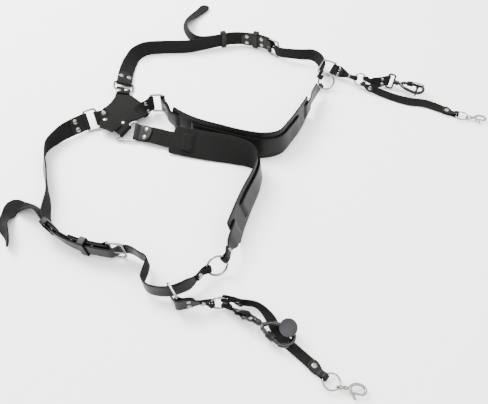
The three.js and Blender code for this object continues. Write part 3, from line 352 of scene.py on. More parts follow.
FAR = SidePlan(
    name="far",
    flip=-1,
    side_start=RingStart(-0.12, 0.93, 0.075, 95, 20, 0),
    side_arm=Arm(-0.05, 0.42, 32, 1),
    shoulder_start=RingStart(0.62, 0.25, 0.208, 0, 90, 0),
    shoulder_arm=Arm(0.25, 0.08, 30, -1),
    outward=1,
    front_ring=(0.995, 0.27, -90, 30, 145, 222),
    shoulder_rows=FAR_SHOULDER,
    side_rows=FAR_SIDE,
    pad_start=46,
    buckle_share=0.685,
    slider_share=0.93,
    slider_turn=0,
    slider_inset=3.7,
    tail=(-0.289, 1.289),
    tail_rows=FAR_TAIL,
    leash_ring_at=(0.49, -0.38, 0.18),
    leash_lean=57,
    eye_at=(0.55, 0.02, 0.15),
    leash_ring=(-118, 25, 180, 28, -42),
    hook_strap_lean=57,
    safety_at=(0.945, -0.5),
    safety_rows=FAR_SAFETY,
    hook_heading=-28,
    clasp_heading=-4,
)


# Routes


class Spline:
    """A Catmull-Rom curve through points, with an arc-length table."""

    def __init__(self, points: list[Vector], centripetal: bool) -> None:
        """Stores the points and measures the curve.

        Args:
            points: The points that the curve passes.
            centripetal: Whether the knots follow the spacing of the points.
        """
        self.points = points
        self.centripetal = centripetal
        self.lengths = [0.0]
        last = self.at(0)
        for i in range(1, 401):
            here = self.at(i / 400)
            self.lengths.append(self.lengths[-1] + (here - last).length)
            last = here

    @property
    def length(self) -> float:
        """The curve's whole length."""
        return self.lengths[-1]

    def _cubic(self, t: float) -> tuple[Vector, Vector, Vector, Vector, float]:
        """The cubic's coefficients at a parameter, and the place within it."""
        points = self.points
        size = len(points)
        place = (size - 1) * min(max(t, 0.0), 1.0)
        index = min(int(place), size - 2)
        share = place - index
        p1, p2 = points[index], points[index + 1]
        p0 = points[index - 1] if index > 0 else p1 * 2 - p2
        p3 = points[index + 2] if index + 2 < size else p2 * 2 - p1
        if self.centripetal:
            d1 = (p2 - p1).length ** 0.5
            d1 = d1 if d1 >= 1e-4 else 1.0
            d0 = (p1 - p0).length ** 0.5
            d0 = d0 if d0 >= 1e-4 else d1
            d2 = (p3 - p2).length ** 0.5
            d2 = d2 if d2 >= 1e-4 else d1
            t0 = ((p1 - p0) / d0 - (p2 - p0) / (d0 + d1) + (p2 - p1) / d1) * d1
            t1 = ((p2 - p1) / d1 - (p3 - p1) / (d1 + d2) + (p3 - p2) / d2) * d1
        else:
            t0, t1 = (p2 - p0) * 0.5, (p3 - p1) * 0.5
        c2 = p1 * -3 + p2 * 3 - t0 * 2 - t1
        c3 = p1 * 2 - p2 * 2 + t0 + t1
        return p1, t0, c2, c3, share

    def at(self, t: float) -> Vector:
        """The point at a parameter from 0 to 1."""
        c0, c1, c2, c3, share = self._cubic(t)
        return c0 + c1 * share + c2 * share**2 + c3 * share**3

    def tangent(self, t: float) -> Vector:
        """The unit tangent at a parameter from 0 to 1."""
        _, c1, c2, c3, share = self._cubic(t)
        return (c1 + c2 * (2 * share) + c3 * (3 * share**2)).normalized()

    def parameter(self, share: float) -> float:
        """The parameter at a share of the curve's length."""
        target = share * self.length
        index = min(max(bisect.bisect_right(self.lengths, target) - 1, 0), len(self.lengths) - 2)
        low, high = self.lengths[index], self.lengths[index + 1]
        part = (target - low) / (high - low) if high > low else 0.0
        return (index + part) / (len(self.lengths) - 1)


@dataclass
class Bar:
    """A bar that a strap folds round."""

    point: Vector
    axis: Vector
    side: int
    radius: float
    flap: float = 22


@dataclass
class Frame:
    """A strap's place and directions at one distance."""

    point: Vector
    width: Vector
    travel: Vector
    inner: Vector


@dataclass
class Station:
    """One cross-section of a strap."""

    point: Vector
    width: Vector
    out: Vector
    wide: float
    thick: float


class Route:
    """A strap's way over the floor, leaning and lifting as its rows say."""

    def __init__(
        self,
        points: list[Vector],
        rows: list[tuple[float, float]],
        support: float,
        thickness: float,
        start: Optional[Bar] = None,
        end: Optional[Bar] = None,
        blend: float = 35,
    ) -> None:
        """Lays the plan and hooks its ends.

        Args:
            points: The plan's points.
            rows: Pairs of lean and lift, one for each point.
            support: The widest band on the route, which stands on the floor.
            thickness: The band's thickness.
            start: The bar at the start, if it hooks round one.
            end: The bar at the end, if it hooks round one.
            blend: How far the hooked ends' directions reach.
        """
        self.plan = Spline([Vector((p.x, p.y, 0)) for p in points], True)
        self.form = Spline([Vector((lean, lift, 0)) for lean, lift in rows], False)
        self.support = support
        self.thickness = thickness
        self.length = self.plan.length
        self.blend = blend
        self.start_anchor: Optional[tuple[Vector, Vector]] = None
        self.end_anchor: Optional[tuple[Vector, Vector]] = None
        first = self._hook(0, start) if start else None
        self.start_anchor = first
        last = self._hook(self.length, end) if end else None
        self.end_anchor = last

    def _hook(self, distance: float, bar: Bar) -> tuple[Vector, Vector]:
        """The width and the shift that bring an end onto its bar."""
        point, width, travel = self.place(distance)
        axis = bar.axis * (-1 if width.dot(bar.axis) < 0 else 1)
        level = along(travel, (axis, -travel.dot(axis))).normalized()
        inner = level.cross(axis)
        return axis, along(bar.point, (inner, -bar.side * bar.radius)) - point

    def form_at(self, distance: float) -> tuple[float, float]:
        """The lean and the lift at a distance."""
        share = min(max(distance / self.length, 0), 1)
        form = self.form.at(self.plan.parameter(share))
        return form.x, form.y

    def place(self, distance: float) -> tuple[Vector, Vector, Vector]:
        """The point, the width and the travel at a distance."""
        inside = min(max(distance, 0.0), self.length)
        step = self.plan.parameter(inside / self.length)
        travel = self.plan.tangent(step)
        point = self.plan.at(step) + travel * (distance - inside)
        form = self.form.at(step)
        lean = math.radians(form.x)
        point.z = self.support / 2 * abs(math.sin(lean))
        point.z += self.thickness / 2 * abs(math.cos(lean)) + form.y * self.support
        width = UP.cross(travel) * math.cos(lean) + UP * math.sin(lean)
        for anchor, reach in ((self.start_anchor, inside), (self.end_anchor, self.length - inside)):
            if anchor:
                weight = 1 - smooth(reach / self.blend)
                point += anchor[1] * weight
                width = width.lerp(anchor[0], weight)
        return point, width.normalized(), travel

    def frame(self, distance: float) -> Frame:
        """The strap's frame at a distance."""
        point, width, _ = self.place(distance)
        travel = self.place(distance + 0.5)[0] - self.place(distance - 0.5)[0]
        travel = along(travel, (width, -travel.dot(width))).normalized()
        return Frame(point, width, travel, travel.cross(width))


def plan_points(start: Vector, end: Vector, rows: list) -> list[Vector]:
    """The points of a way between two places, from rows of shares."""
    line = end - start
    line.z = 0
    side = Vector((-line.y, line.x, 0))
    return [along(start, (line, row[0]), (side, row[1])) for row in rows]


def forms(rows: list) -> list[tuple[float, float]]:
    """The lean and lift columns of rows."""
    return [(row[2], row[3]) for row in rows]


def flap_rise(distance: float, radius: float) -> float:
    """How far a flap stands off its strap at a distance from the bar."""
    return mix(2 * radius, SIZES.flap_at, smooth(distance / SIZES.fold_run))


def tip_factor(distance: float, width: float) -> float:
    """How much of its width a strap keeps near its rounded tip."""
    inset = max(0.0, 1 - distance / (width / 3))
    return math.sqrt(1 - 0.8 * inset * inset)


Law = Callable[[float], float]
Pairs = tuple[tuple[float, float], ...]


def fold_stations(
    route: Route, start: float, into: int, bar: Bar, width_at: Law, thick: float = SIZES.leather
) -> list[Station]:
    """Stations of an end that folds round a bar and back along the strap.

    Args:
        route: The strap's route.
        start: The distance at which it meets the bar.
        into: 1 where the strap follows the fold, -1 where it comes before it.
        bar: The bar, with the flap's side, radius and length.
        width_at: The strap's width at a distance.
        thick: The strap's thickness.

    Returns:
        The stations in the strap's own order.
    """
    near_tip = [bar.flap - value for value in (0, 0.4, 1, 2, 3.2, 4.8)]
    rest = steps_between(bar.flap - 7, 0, 2.6)
    stations = []
    for distance in near_tip + rest:
        here = route.frame(start + into * distance)
        point = along(here.point, (here.inner, bar.side * flap_rise(distance, bar.radius)))
        full = width_at(start + into * distance)
        wide = full * tip_factor(bar.flap - distance, full)
        stations.append(Station(point, here.width, -here.inner, wide, thick))
    here = route.frame(start)
    centre = along(here.point, (here.inner, bar.side * bar.radius))
    for degrees in range(15, 180, 15):
        cos, sin = math.cos(math.radians(degrees)), math.sin(math.radians(degrees))
        ways = ((here.inner, bar.side * bar.radius * cos), (here.travel, -into * bar.radius * sin))
        out = here.inner * -cos + here.travel * (into * bar.side * sin)
        stations.append(Station(along(centre, *ways), here.width, out, width_at(start), thick))
    return stations if into > 0 else stations[::-1]


def none_at(_: float) -> float:
    """A band that keeps to its route."""
    return 0.0


def band_stations(
    route: Route,
    steps: Iterable[float],
    width_at: Law,
    offset_at: Law = none_at,
    thick: float = SIZES.leather,
) -> list[Station]:
    """Stations of a plain band along a route."""
    stations = []
    for distance in steps:
        here = route.frame(distance)
        point = along(here.point, (here.inner, offset_at(distance)))
        stations.append(Station(point, here.width, here.inner, width_at(distance), thick))
    return stations


def strap_stations(
    route: Route,
    reach: float,
    bars: tuple[Bar, Bar],
    width_at: Law,
    offset_at: Law = none_at,
    step: float = SIZES.band_step,
) -> list[Station]:
    """The stations of a strap that folds round a bar at each end.

    Args:
        route: Its route.
        reach: Where it ends along the route.
        bars: The bars at its start and its end.
        width_at: Its width at a distance.
        offset_at: Its offset from the route at a distance.
        step: The longest step between stations.

    Returns:
        The stations in order.
    """
    stations = fold_stations(route, 0, 1, bars[0], width_at)
    stations += band_stations(route, steps_between(0, reach, step), width_at, offset_at)
    return stations + fold_stations(route, reach, -1, bars[1], width_at)


# Meshes


class Shift:
    """Brings the layout's millimetres into the shared frame."""

    offset = Vector((0, 0, 0))

    @classmethod
    def to_frame(cls, point: Vector) -> Vector:
        """A layout point in the shared frame, in metres."""
        return (point + cls.offset) * MM


@dataclass
class Skin:
    """Vertices and faces gathered for one mesh."""

    vertices: list = field(default_factory=list)
    faces: list = field(default_factory=list)
    kinds: list = field(default_factory=list)

    def rings(
        self, rings: list[list[Vector]], kinds: list[int], closed: bool = False, cap: int = 0
    ) -> None:
        """Joins rings of points with quads and closes the ends.

        Args:
            rings: Rings of points of one size, each anticlockwise against the way of travel.
            kinds: The material index of each strip round the ring.
            closed: Whether the last ring meets the first.
            cap: The material index of the end caps.
        """
        base = len(self.vertices)
        size = len(rings[0])
        for ring in rings:
            self.vertices.extend(Shift.to_frame(point) for point in ring)
        count = len(rings)
        for i in range(count if closed else count - 1):
            here, there = base + i * size, base + ((i + 1) % count) * size
            for k in range(size):
                after = (k + 1) % size
                self.faces.append((here + k, here + after, there + after, there + k))
                self.kinds.append(kinds[k % len(kinds)])
        if not closed:
            last = base + (count - 1) * size
            self.faces.append(tuple(base + k for k in reversed(range(size))))
            self.faces.append(tuple(last + k for k in range(size)))
            self.kinds.extend((cap, cap))

    def build(self, name: str, materials: list[bpy.types.Material]) -> bpy.types.Object:
        """Makes the object.

        Args:
            name: The object's name.
            materials: Its materials, in the order of the face kinds.

        Returns:
            The linked object.
        """
        mesh = bpy.data.meshes.new(name)
        mesh.from_pydata(self.vertices, [], self.faces)
        for material in materials:
            mesh.materials.append(material)
        mesh.polygons.foreach_set("material_index", self.kinds)
        mesh.polygons.foreach_set("use_smooth", [True] * len(self.faces))
        mesh.validate()
        mesh.update()
        mesh.set_sharp_from_angle(angle=CREASE)
        thing = bpy.data.objects.new(name, mesh)
        bpy.context.scene.collection.objects.link(thing)
        return thing


def strap_section(wide: float, thick: float, grain: int, puff: float = 0.0) -> tuple[list, list[int]]:
    """The rounded cross-section of a strap.

    Args:
        wide: Its width.
        thick: Its thickness.
        grain: 1 if the grain is on the out side, -1 if it is on the other.
        puff: How much fuller the middle of each face is.

    Returns:
        Pairs of across and out, anticlockwise, and the face kind of each strip.
    """
    a, b = wide / 2, thick / 2
    r = min(0.85, b * 0.75)
    spans = 6
    corner = [(0.0, 0.0), (0.5, 0.134), (0.866, 0.5)]
    shares = [i / spans for i in range(spans)]
    low = [(-a + r + 2 * (a - r) * t, -b - puff / 2 * math.sin(math.pi * t)) for t in shares]
    points = list(low)
    kinds = [Face.GRAIN.value if grain < 0 else Face.FLESH.value] * spans
    points += [(a - r + r * x, -b + r * y) for x, y in corner] + [(a, -b + r)]
    points += [(a - r + r * x, b - r * y) for x, y in reversed(corner[1:])]
    points += [(-x, -y) for x, y in low]
    kinds += [Face.EDGE.value] * 6
    kinds += [Face.GRAIN.value if grain > 0 else Face.FLESH.value] * spans
    points += [(-x, -y) for x, y in [(a - r + r * x, -b + r * y) for x, y in corner] + [(a, -b + r)]]
    points += [(-a + r - r * x, -b + r * y) for x, y in reversed(corner[1:])]
    kinds += [Face.EDGE.value] * 6
    return points, kinds


def skin_band(
    skin: Skin, stations: list[Station], grain: int, puff: float = 0.0, closed: bool = False
) -> None:
    """Skins a row of strap stations."""
    rings, kinds = [], []
    for here in stations:
        pairs, kinds = strap_section(here.wide, here.thick, grain, puff)
        rings.append([along(here.point, (here.width, a), (here.out, b)) for a, b in pairs])
    skin.rings(rings, kinds, closed, Face.EDGE.value)


def circle(radius: float, sides: int) -> list[tuple[float, float]]:
    """Points of a round section."""
    turns = [2 * math.pi * (k + 0.5) / sides for k in range(sides)]
    return [(radius * math.cos(turn), radius * math.sin(turn)) for turn in turns]


def skin_wire(
    skin: Skin,
    points: list[Vector],
    normal: Vector,
    radius: float | list[float],
    closed: bool = False,
    sides: int = 14,
) -> None:
    """Skins a round wire through points of one plane.

    Args:
        skin: The mesh to add to.
        points: The wire's middle line.
        normal: The plane's normal.
        radius: Its radius, or one for each point.
        closed: Whether the ends meet.
        sides: How many sides its section has.
    """
    size = len(points)
    rings = []
    for i, point in enumerate(points):
        before = points[(i - 1) % size] if closed else points[max(i - 1, 0)]
        after = points[(i + 1) % size] if closed else points[min(i + 1, size - 1)]
        out = (after - before).normalized().cross(normal).normalized()
        here = radius[i] if isinstance(radius, list) else radius
        rings.append([along(point, (normal, a), (out, b)) for a, b in circle(here, sides)])
    skin.rings(rings, [0], closed)


def rounded_end_wire(
    skin: Skin, points: list[Vector], normal: Vector, radius: float, sides: int = 14
) -> None:
    """Skins an open wire whose ends are domed."""
    start = (points[0] - points[1]).normalized()
    end = (points[-1] - points[-2]).normalized()
    shares = [(0.97, 0.25), (0.85, 0.53), (0.6, 0.8), (0.3, 0.954)]
    head = [along(points[0], (start, radius * reach)) for reach, _ in shares]
    tail = [along(points[-1], (end, radius * reach)) for reach, _ in reversed(shares)]
    dome = [radius * wide for _, wide in shares]
    path = head + points + tail
    radii = dome + [radius] * len(points) + dome[::-1]
    skin_wire(skin, path, normal, radii, False, sides)


def circle_points(
    centre: Vector, first: Vector, second: Vector, radius: float, steps: int
) -> list[Vector]:
    """Points round a circle in the plane of two axes."""
    turns = [2 * math.pi * i / steps for i in range(steps)]
    pairs = [(radius * math.cos(turn), radius * math.sin(turn)) for turn in turns]
    return [along(centre, (first, a), (second, b)) for a, b in pairs]


def rounded_path(
    corners: list[tuple[float, float]], radius: float, steps: int = 6, most: float = 1.0
) -> list[tuple[float, float]]:
    """A closed path of pairs with rounded corners.

    Args:
        corners: The path's corners.
        radius: How far from a corner its rounding starts.
        steps: How many steps a rounded corner has.
        most: The most of a side that one rounding may take.

    Returns:
        The path's points.
    """
    path = []
    size = len(corners)
    for i, pair in enumerate(corners):
        corner = Vector(pair)
        before, after = Vector(corners[i - 1]), Vector(corners[(i + 1) % size])
        reach = min(radius, (before - corner).length * most, (after - corner).length * most)
        enter = corner + (before - corner).normalized() * reach
        leave = corner + (after - corner).normalized() * reach
        for k in range(steps + 1):
            t = k / steps
            point = enter * (1 - t) ** 2 + corner * (2 * t * (1 - t)) + leave * t**2
            path.append((point.x, point.y))
    return path


def frame_skin(
    kind: WireFrame, origin: Vector, across: Vector, ahead: Vector, strap: float, start: float = 0.0
) -> Skin:
    """Skins a rectangular wire frame.

    Args:
        kind: Its sizes.
        origin: The point that it is measured from.
        across: The axis along the strap's width.
        ahead: The axis along the frame's depth.
        strap: The width of the strap that passes through.
        start: Where its first bar lies along the ahead axis.

    Returns:
        The skin.
    """
    half, end = kind.half(strap), start + kind.depth
    path = rounded_path([(-half, start), (half, start), (half, end), (-half, end)], kind.corner)
    points = [along(origin, (across, a), (ahead, b)) for a, b in path]
    skin = Skin()
    skin_wire(skin, points, across.cross(ahead).normalized(), kind.wire, True)
    return skin


def skin_lathe(
    skin: Skin,
    origin: Vector,
    axis: Vector,
    profile: list[tuple[float, float]],
    sides: int = 24,
    closed: bool = False,
) -> None:
    """Turns a profile of distances and radii round an axis.

    Args:
        skin: The mesh to add to.
        origin: Where distances start.
        axis: The axis.
        profile: Pairs of a distance along the axis and a radius.
        sides: How many sides the turned form has.
        closed: Whether the profile's end meets its start, as in a tube.
    """
    helper = Vector((1, 0, 0)) if abs(axis.z) > 0.9 else UP
    width = helper.cross(axis).normalized()
    out = axis.cross(width)
    rings = []
    for distance, radius in profile:
        middle = along(origin, (axis, distance))
        section = circle(max(radius, 0.02), sides)
        rings.append([along(middle, (width, a), (out, b)) for a, b in section])
    skin.rings(rings, [0], closed)


def smooth_path(points: list[Vector], step: float = 1.6) -> list[Vector]:
    """A finer path through a few points."""
    spline = Spline(points, True)
    count = max(4, round(spline.length / step))
    return [spline.at(spline.parameter(i / count)) for i in range(count + 1)]


# Finishes


def socket_set(node: bpy.types.Node, **values: object) -> None:
    """Sets named input sockets, with _ for a space."""
    for name, value in values.items():
        node.inputs[name.replace("_", " ")].default_value = value


def join(tree: bpy.types.NodeTree, *rows: tuple) -> None:
    """Links a tree's nodes, by rows of a node, its output, the next node and its input."""
    for source, output, target, entry in rows:
        tree.links.new(source.outputs[output], target.inputs[entry])


class Relief:
    """The shader group that gives leather and metal their fine relief and uneven tone."""

    @staticmethod
    def build() -> bpy.types.NodeTree:
        """Builds the group once.

        Returns:
            A group with inputs Scale and Coarse and outputs Height and Tone.
        """
        tree = bpy.data.node_groups.new("surface_relief", "ShaderNodeTree")
        for name, value in (("Scale", 900.0), ("Coarse", 40.0)):
            made = tree.interface.new_socket(name, in_out="INPUT", socket_type="NodeSocketFloat")
            made.default_value = value
        for name in ("Height", "Tone"):
            tree.interface.new_socket(name, in_out="OUTPUT", socket_type="NodeSocketFloat")
        nodes = tree.nodes
        given, put = nodes.new("NodeGroupInput"), nodes.new("NodeGroupOutput")
        where = nodes.new("ShaderNodeTexCoord")
        cells = nodes.new("ShaderNodeTexVoronoi")
        cells.feature = "SMOOTH_F1"
        fine = nodes.new("ShaderNodeTexNoise")
        coarse = nodes.new("ShaderNodeTexNoise")
        socket_set(fine, Detail=4.0)
        socket_set(coarse, Detail=3.0)
        for node, source in ((cells, "Scale"), (fine, "Scale"), (coarse, "Coarse")):
            join(tree, (where, "Object", node, "Vector"), (given, source, node, "Scale"))
        add = nodes.new("ShaderNodeMath")
        add.operation = "ADD"
        join(
            tree,
            (cells, "Distance", add, 0),
            (fine, "Fac", add, 1),
            (add, 0, put, "Height"),
            (coarse, "Fac", put, "Tone"),
        )
        return tree


@dataclass(frozen=True)
class Finish:
    """One finish of the harness."""

    name: str
    dark: tuple[float, float, float]
    light: tuple[float, float, float]
    rough_low: float
    rough_high: float
    metallic: float = 0.0
    scale: float = 900.0
    coarse: float = 40.0
    bump: float = 0.2
    bump_distance: float = 0.0002
    specular: float = 0.5

    def build(self, relief: bpy.types.NodeTree) -> bpy.types.Material:
        """Builds the material.

        Args:
            relief: The shared relief group.

        Returns:
            The material.
        """
        material = bpy.data.materials.new(self.name)
        material.use_nodes = True
        nodes = material.node_tree.nodes
        shader = nodes["Principled BSDF"]
        socket_set(shader, Metallic=self.metallic, Specular_IOR_Level=self.specular)
        group = nodes.new("ShaderNodeGroup")
        group.node_tree = relief
        socket_set(group, Scale=self.scale, Coarse=self.coarse)
        tone = nodes.new("ShaderNodeMix")
        tone.data_type = "RGBA"
        socket_set(tone, A=(*self.dark, 1), B=(*self.light, 1))
        rough = nodes.new("ShaderNodeMapRange")
        socket_set(rough, To_Min=self.rough_low, To_Max=self.rough_high)
        bump = nodes.new("ShaderNodeBump")
        socket_set(bump, Strength=self.bump, Distance=self.bump_distance)
        join(
            material.node_tree,
            (group, "Tone", tone, "Factor"),
            (group, "Tone", rough, "Value"),
            (group, "Height", bump, "Height"),
            (tone, "Result", shader, "Base Color"),
            (rough, "Result", shader, "Roughness"),
            (bump, "Normal", shader, "Normal"),
        )
        return material


FINISHES = {
    "grain": Finish(
        "grain_leather", (0.0025, 0.0023, 0.0021), (0.0075, 0.0069, 0.0063), 0.3, 0.5,
        scale=1100, coarse=60, bump=0.3, specular=0.14,
    ),
    "flesh": Finish(
        "flesh_leather", (0.001, 0.001, 0.001), (0.013, 0.0127, 0.0122), 0.85, 1.0,
        scale=1300, coarse=420, bump=1.0, bump_distance=0.0006, specular=0.1,
    ),
    "edge": Finish(
        "cut_edge", (0.001, 0.001, 0.001), (0.003, 0.003, 0.003), 0.5, 0.7,
        scale=1500, coarse=90, bump=0.3, specular=0.1,
    ),
    "chrome": Finish(
        "chrome_wire", (0.13, 0.13, 0.132), (0.3, 0.3, 0.305), 0.08, 0.16,
        metallic=1, scale=600, coarse=30, bump=0.02,
    ),
    "gunmetal": Finish(
        "dark_gunmetal", (0.02, 0.02, 0.021), (0.05, 0.05, 0.053), 0.12, 0.24,
        metallic=1, scale=700, coarse=40, bump=0.04,
    ),
    "nickel": Finish(
        "nickel_plate", (0.14, 0.138, 0.132), (0.3, 0.295, 0.28), 0.12, 0.22,
        metallic=1, scale=700, coarse=40, bump=0.03,
    ),
}


@dataclass
class Kit:
    """The built materials, and the places gathered for the rivet heads."""

    materials: dict[str, bpy.types.Material] = field(default_factory=dict)
    studs: list[tuple[Vector, Vector, float]] = field(default_factory=list)

    @property
    def leather(self) -> list[bpy.types.Material]:
        """The strap materials in the order of the face kinds."""
        return [self.materials["grain"], self.materials["flesh"], self.materials["edge"]]

    def dress(self, thing: bpy.types.Object, body: str, slot: Slot, *nodes: str) -> bpy.types.Object:
        """Puts a piece on its body in place of its nodes.

        Args:
            thing: The finished object.
            body: The body that it rides on.
            slot: Its material slot; not used.
            nodes: The solids that it stands for.

        Returns:
            The same object.
        """
        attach(thing, body)
        if nodes:
            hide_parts(*nodes)
        log.info("%s on %s, %d faces", thing.name, body, len(thing.data.polygons))
        return thing

    def metal(self, skin: Skin, name: str, slot: Slot, body: str = ROOT) -> bpy.types.Object:
        """Builds and dresses a metal piece that stands for the solid of the same name."""
        thing = skin.build(name + "_form", [self.materials[slot.value]])
        return self.dress(thing, body, slot, name)

    def hide(self, skin: Skin, name: str) -> bpy.types.Object:
        """Builds and dresses a leather piece that stands for the solid of the same name."""
        thing = skin.build(name + "_form", self.leather)
        return self.dress(thing, ROOT, Slot.LEATHER, name)

    def stud(
        self, route: Route, distance: float, across: float, rise: float, radius: float = SIZES.rivet
    ) -> None:
        """Notes a rivet's heads on a flap and on the strap's other face.

        Args:
            route: The strap's route.
            distance: Where the rivet is along it.
            across: Where it is across the strap.
            rise: How far the flap stands off the strap, negative on the other side.
            radius: The head's radius.
        """
        here = route.frame(distance)
        middle = along(here.point, (here.width, across))
        sign = 1 if rise > 0 else -1
        face = along(middle, (here.inner, rise + sign * SIZES.leather / 2))
        self.studs.append((face, here.inner * sign, radius))
        back = along(middle, (here.inner, -sign * SIZES.leather / 2))
        self.studs.append((back, here.inner * -sign, radius * 0.8))


# Repeated pieces


class Repeats:
    """Geometry Nodes that set one small domed piece on each point of a mesh."""

    def __init__(self) -> None:
        """Builds the tree with named inputs for the piece's sizes."""
        tree = bpy.data.node_groups.new("set_on_points", "GeometryNodeTree")
        tree.interface.new_socket("Geometry", in_out="OUTPUT", socket_type="NodeSocketGeometry")
        tree.interface.new_socket("Geometry", in_out="INPUT", socket_type="NodeSocketGeometry")
        for name, value in (("Length", 0.004), ("Width", 0.004), ("Height", 0.001)):
            made = tree.interface.new_socket(name, in_out="INPUT", socket_type="NodeSocketFloat")
            made.default_value = value
        for name, value in (("Segments", 18), ("Rings", 8)):
            made = tree.interface.new_socket(name, in_out="INPUT", socket_type="NodeSocketInt")
            made.default_value = value
        tree.interface.new_socket("Material", in_out="INPUT", socket_type="NodeSocketMaterial")
        nodes = tree.nodes
        given, put = nodes.new("NodeGroupInput"), nodes.new("NodeGroupOutput")
        ball = nodes.new("GeometryNodeMeshUVSphere")
        sizes = nodes.new("ShaderNodeCombineXYZ")
        shaped = nodes.new("GeometryNodeTransform")
        soft = nodes.new("GeometryNodeSetShadeSmooth")
        turn = nodes.new("GeometryNodeInputNamedAttribute")
        spin = nodes.new("FunctionNodeEulerToRotation")
        share = nodes.new("GeometryNodeInputNamedAttribute")
        points = nodes.new("GeometryNodeInstanceOnPoints")
        real = nodes.new("GeometryNodeRealizeInstances")
        dressed = nodes.new("GeometryNodeSetMaterial")
        socket_set(ball, Radius=1.0)
        for node, kind, name in ((turn, "FLOAT_VECTOR", "turn"), (share, "FLOAT", "share")):
            node.data_type = kind
            socket_set(node, Name=name)
        join(
            tree,
            (given, "Segments", ball, "Segments"),
            (given, "Rings", ball, "Rings"),
            (given, "Length", sizes, "X"),
            (given, "Width", sizes, "Y"),
            (given, "Height", sizes, "Z"),
            (ball, "Mesh", shaped, "Geometry"),
            (sizes, "Vector", shaped, "Scale"),
            (shaped, "Geometry", soft, "Geometry"),
            (turn, "Attribute", spin, "Euler"),
            (given, "Geometry", points, "Points"),
            (soft, "Geometry", points, "Instance"),
            (spin, "Rotation", points, "Rotation"),
            (share, "Attribute", points, "Scale"),
            (points, "Instances", real, "Geometry"),
            (real, "Geometry", dressed, "Geometry"),
            (given, "Material", dressed, "Material"),
            (dressed, "Geometry", put, "Geometry"),
        )
        self.tree = tree

    def place(
        self, name: str, places: list[tuple[Vector, Euler, float]], values: dict[str, object]
    ) -> bpy.types.Object:
        """Sets the piece on each place and makes the result plain.

        Args:
            name: The object's name.
            places: A layout point, a turn and a share of the full size for each copy.
            values: The tree's named inputs.

        Returns:
            A plain mesh object.
        """
        cloud = bpy.data.meshes.new(name + "_points")
        cloud.from_pydata([Shift.to_frame(point) for point, _, _ in places], [], [])
        turns = cloud.attributes.new("turn", "FLOAT_VECTOR", "POINT")
        turns.data.foreach_set("vector", [value for _, turn, _ in places for value in turn])
        shares = cloud.attributes.new("share", "FLOAT", "POINT")
        shares.data.foreach_set("value", [share for _, _, share in places])
        carrier = bpy.data.objects.new(name + "_points", cloud)
        bpy.context.scene.collection.objects.link(carrier)
        modifier = carrier.modifiers.new("set", "NODES")
        modifier.node_group = self.tree
        for item in self.tree.interface.items_tree:
            if item.in_out == "INPUT" and item.name in values:
                modifier[item.identifier] = values[item.name]
        seen = carrier.evaluated_get(bpy.context.evaluated_depsgraph_get())
        mesh = bpy.data.meshes.new_from_object(seen)
        carrier.modifiers.remove(modifier)
        bpy.data.objects.remove(carrier)
        mesh.name = name
        thing = bpy.data.objects.new(name, mesh)
        bpy.context.scene.collection.objects.link(thing)
        return thing


def turn_of(normal: Vector, travel: Vector) -> Euler:
    """The turn that brings +Z onto a normal and +X onto a travel."""
    side = normal.cross(travel).normalized()
    ahead = side.cross(normal)
    return Matrix((ahead, side, normal)).transposed().to_euler("XYZ")


# Rings


@dataclass
class YokeRing:
    """A D ring between the yoke and a strap."""

    start: RingStart

    def __post_init__(self) -> None:
        """Works out its bar, bow and directions."""
        span = SIZES.yoke_span
        self.heading = bearing(self.start.heading)
        left = UP.cross(self.heading)
        lean = math.radians(self.start.lean)
        self.width = left * math.cos(lean) + UP * math.sin(lean)
        self.bar = Vector((self.start.x, self.start.y, self.start.z)) * span
        self.half = YOKE_RING.half(SIZES.main_width)
        self.near = YOKE_RING.depth * (1 - self.start.skew)
        self.far = YOKE_RING.depth * (1 + self.start.skew)
        self.bow = along(self.bar, (self.heading, -(self.near + self.far) / 2))
        across = self.width * (2 * self.half)
        self.axis = along(across, (self.heading, self.far - self.near)).normalized()

    def build(self, kit: Kit, name: str) -> None:
        """Builds the ring."""
        half = self.half
        corners = [(-half, 0), (half, 0), (half, -self.near), (-half, -self.far)]
        path = rounded_path(corners, YOKE_RING.corner)
        points = [along(self.bar, (self.width, a), (self.heading, b)) for a, b in path]
        skin = Skin()
        skin_wire(skin, points, self.width.cross(self.heading).normalized(), YOKE_RING.wire, True)
        kit.metal(skin, name, Slot.CHROME)


@dataclass
class RoundRing:
    """A round ring that straps fold round."""

    centre: Vector
    facing: float
    tilt: float
    radius: float
    tab: float

    def __post_init__(self) -> None:
        """Works out its plane."""
        flat = bearing(self.facing)
        tilt = math.radians(self.tilt)
        self.normal = flat * math.cos(tilt) + UP * math.sin(tilt)
        self.first = UP.cross(flat)
        self.second = self.normal.cross(self.first)

    def contact(self, degrees: float, side: int, wire: float, flap: float) -> Bar:
        """The bar that a strap folds round at an angle of the ring."""
        sagitta = self.radius - math.sqrt(self.radius**2 - (self.tab / 2) ** 2)
        turn = math.radians(degrees)
        spoke = self.first * math.cos(turn) + self.second * math.sin(turn)
        clear = SIZES.bar_radius(wire) + sagitta + SIZES.ring_slack
        point = along(self.centre, (spoke, self.radius))
        return Bar(point, self.normal.cross(spoke), side, clear, flap)

    def build(self, kit: Kit, name: str, wire: float, slot: Slot) -> None:
        """Builds the ring."""
        skin = Skin()
        points = circle_points(self.centre, self.first, self.second, self.radius, 56)
        skin_wire(skin, points, self.normal, wire, True)
        kit.metal(skin, name, slot)


def front_ring_of(plan: SidePlan) -> RoundRing:
    """The front ring of one side."""
    x, y, facing, tilt, _, _ = plan.front_ring
    height = (FRONT_RING.radius + FRONT_RING.wire) * math.cos(math.radians(tilt)) + FRONT_RING.rest
    centre = Vector((x * SIZES.loop_span, y * SIZES.loop_span, height))
    return RoundRing(centre, facing, tilt, FRONT_RING.radius, SIZES.ring_tab)


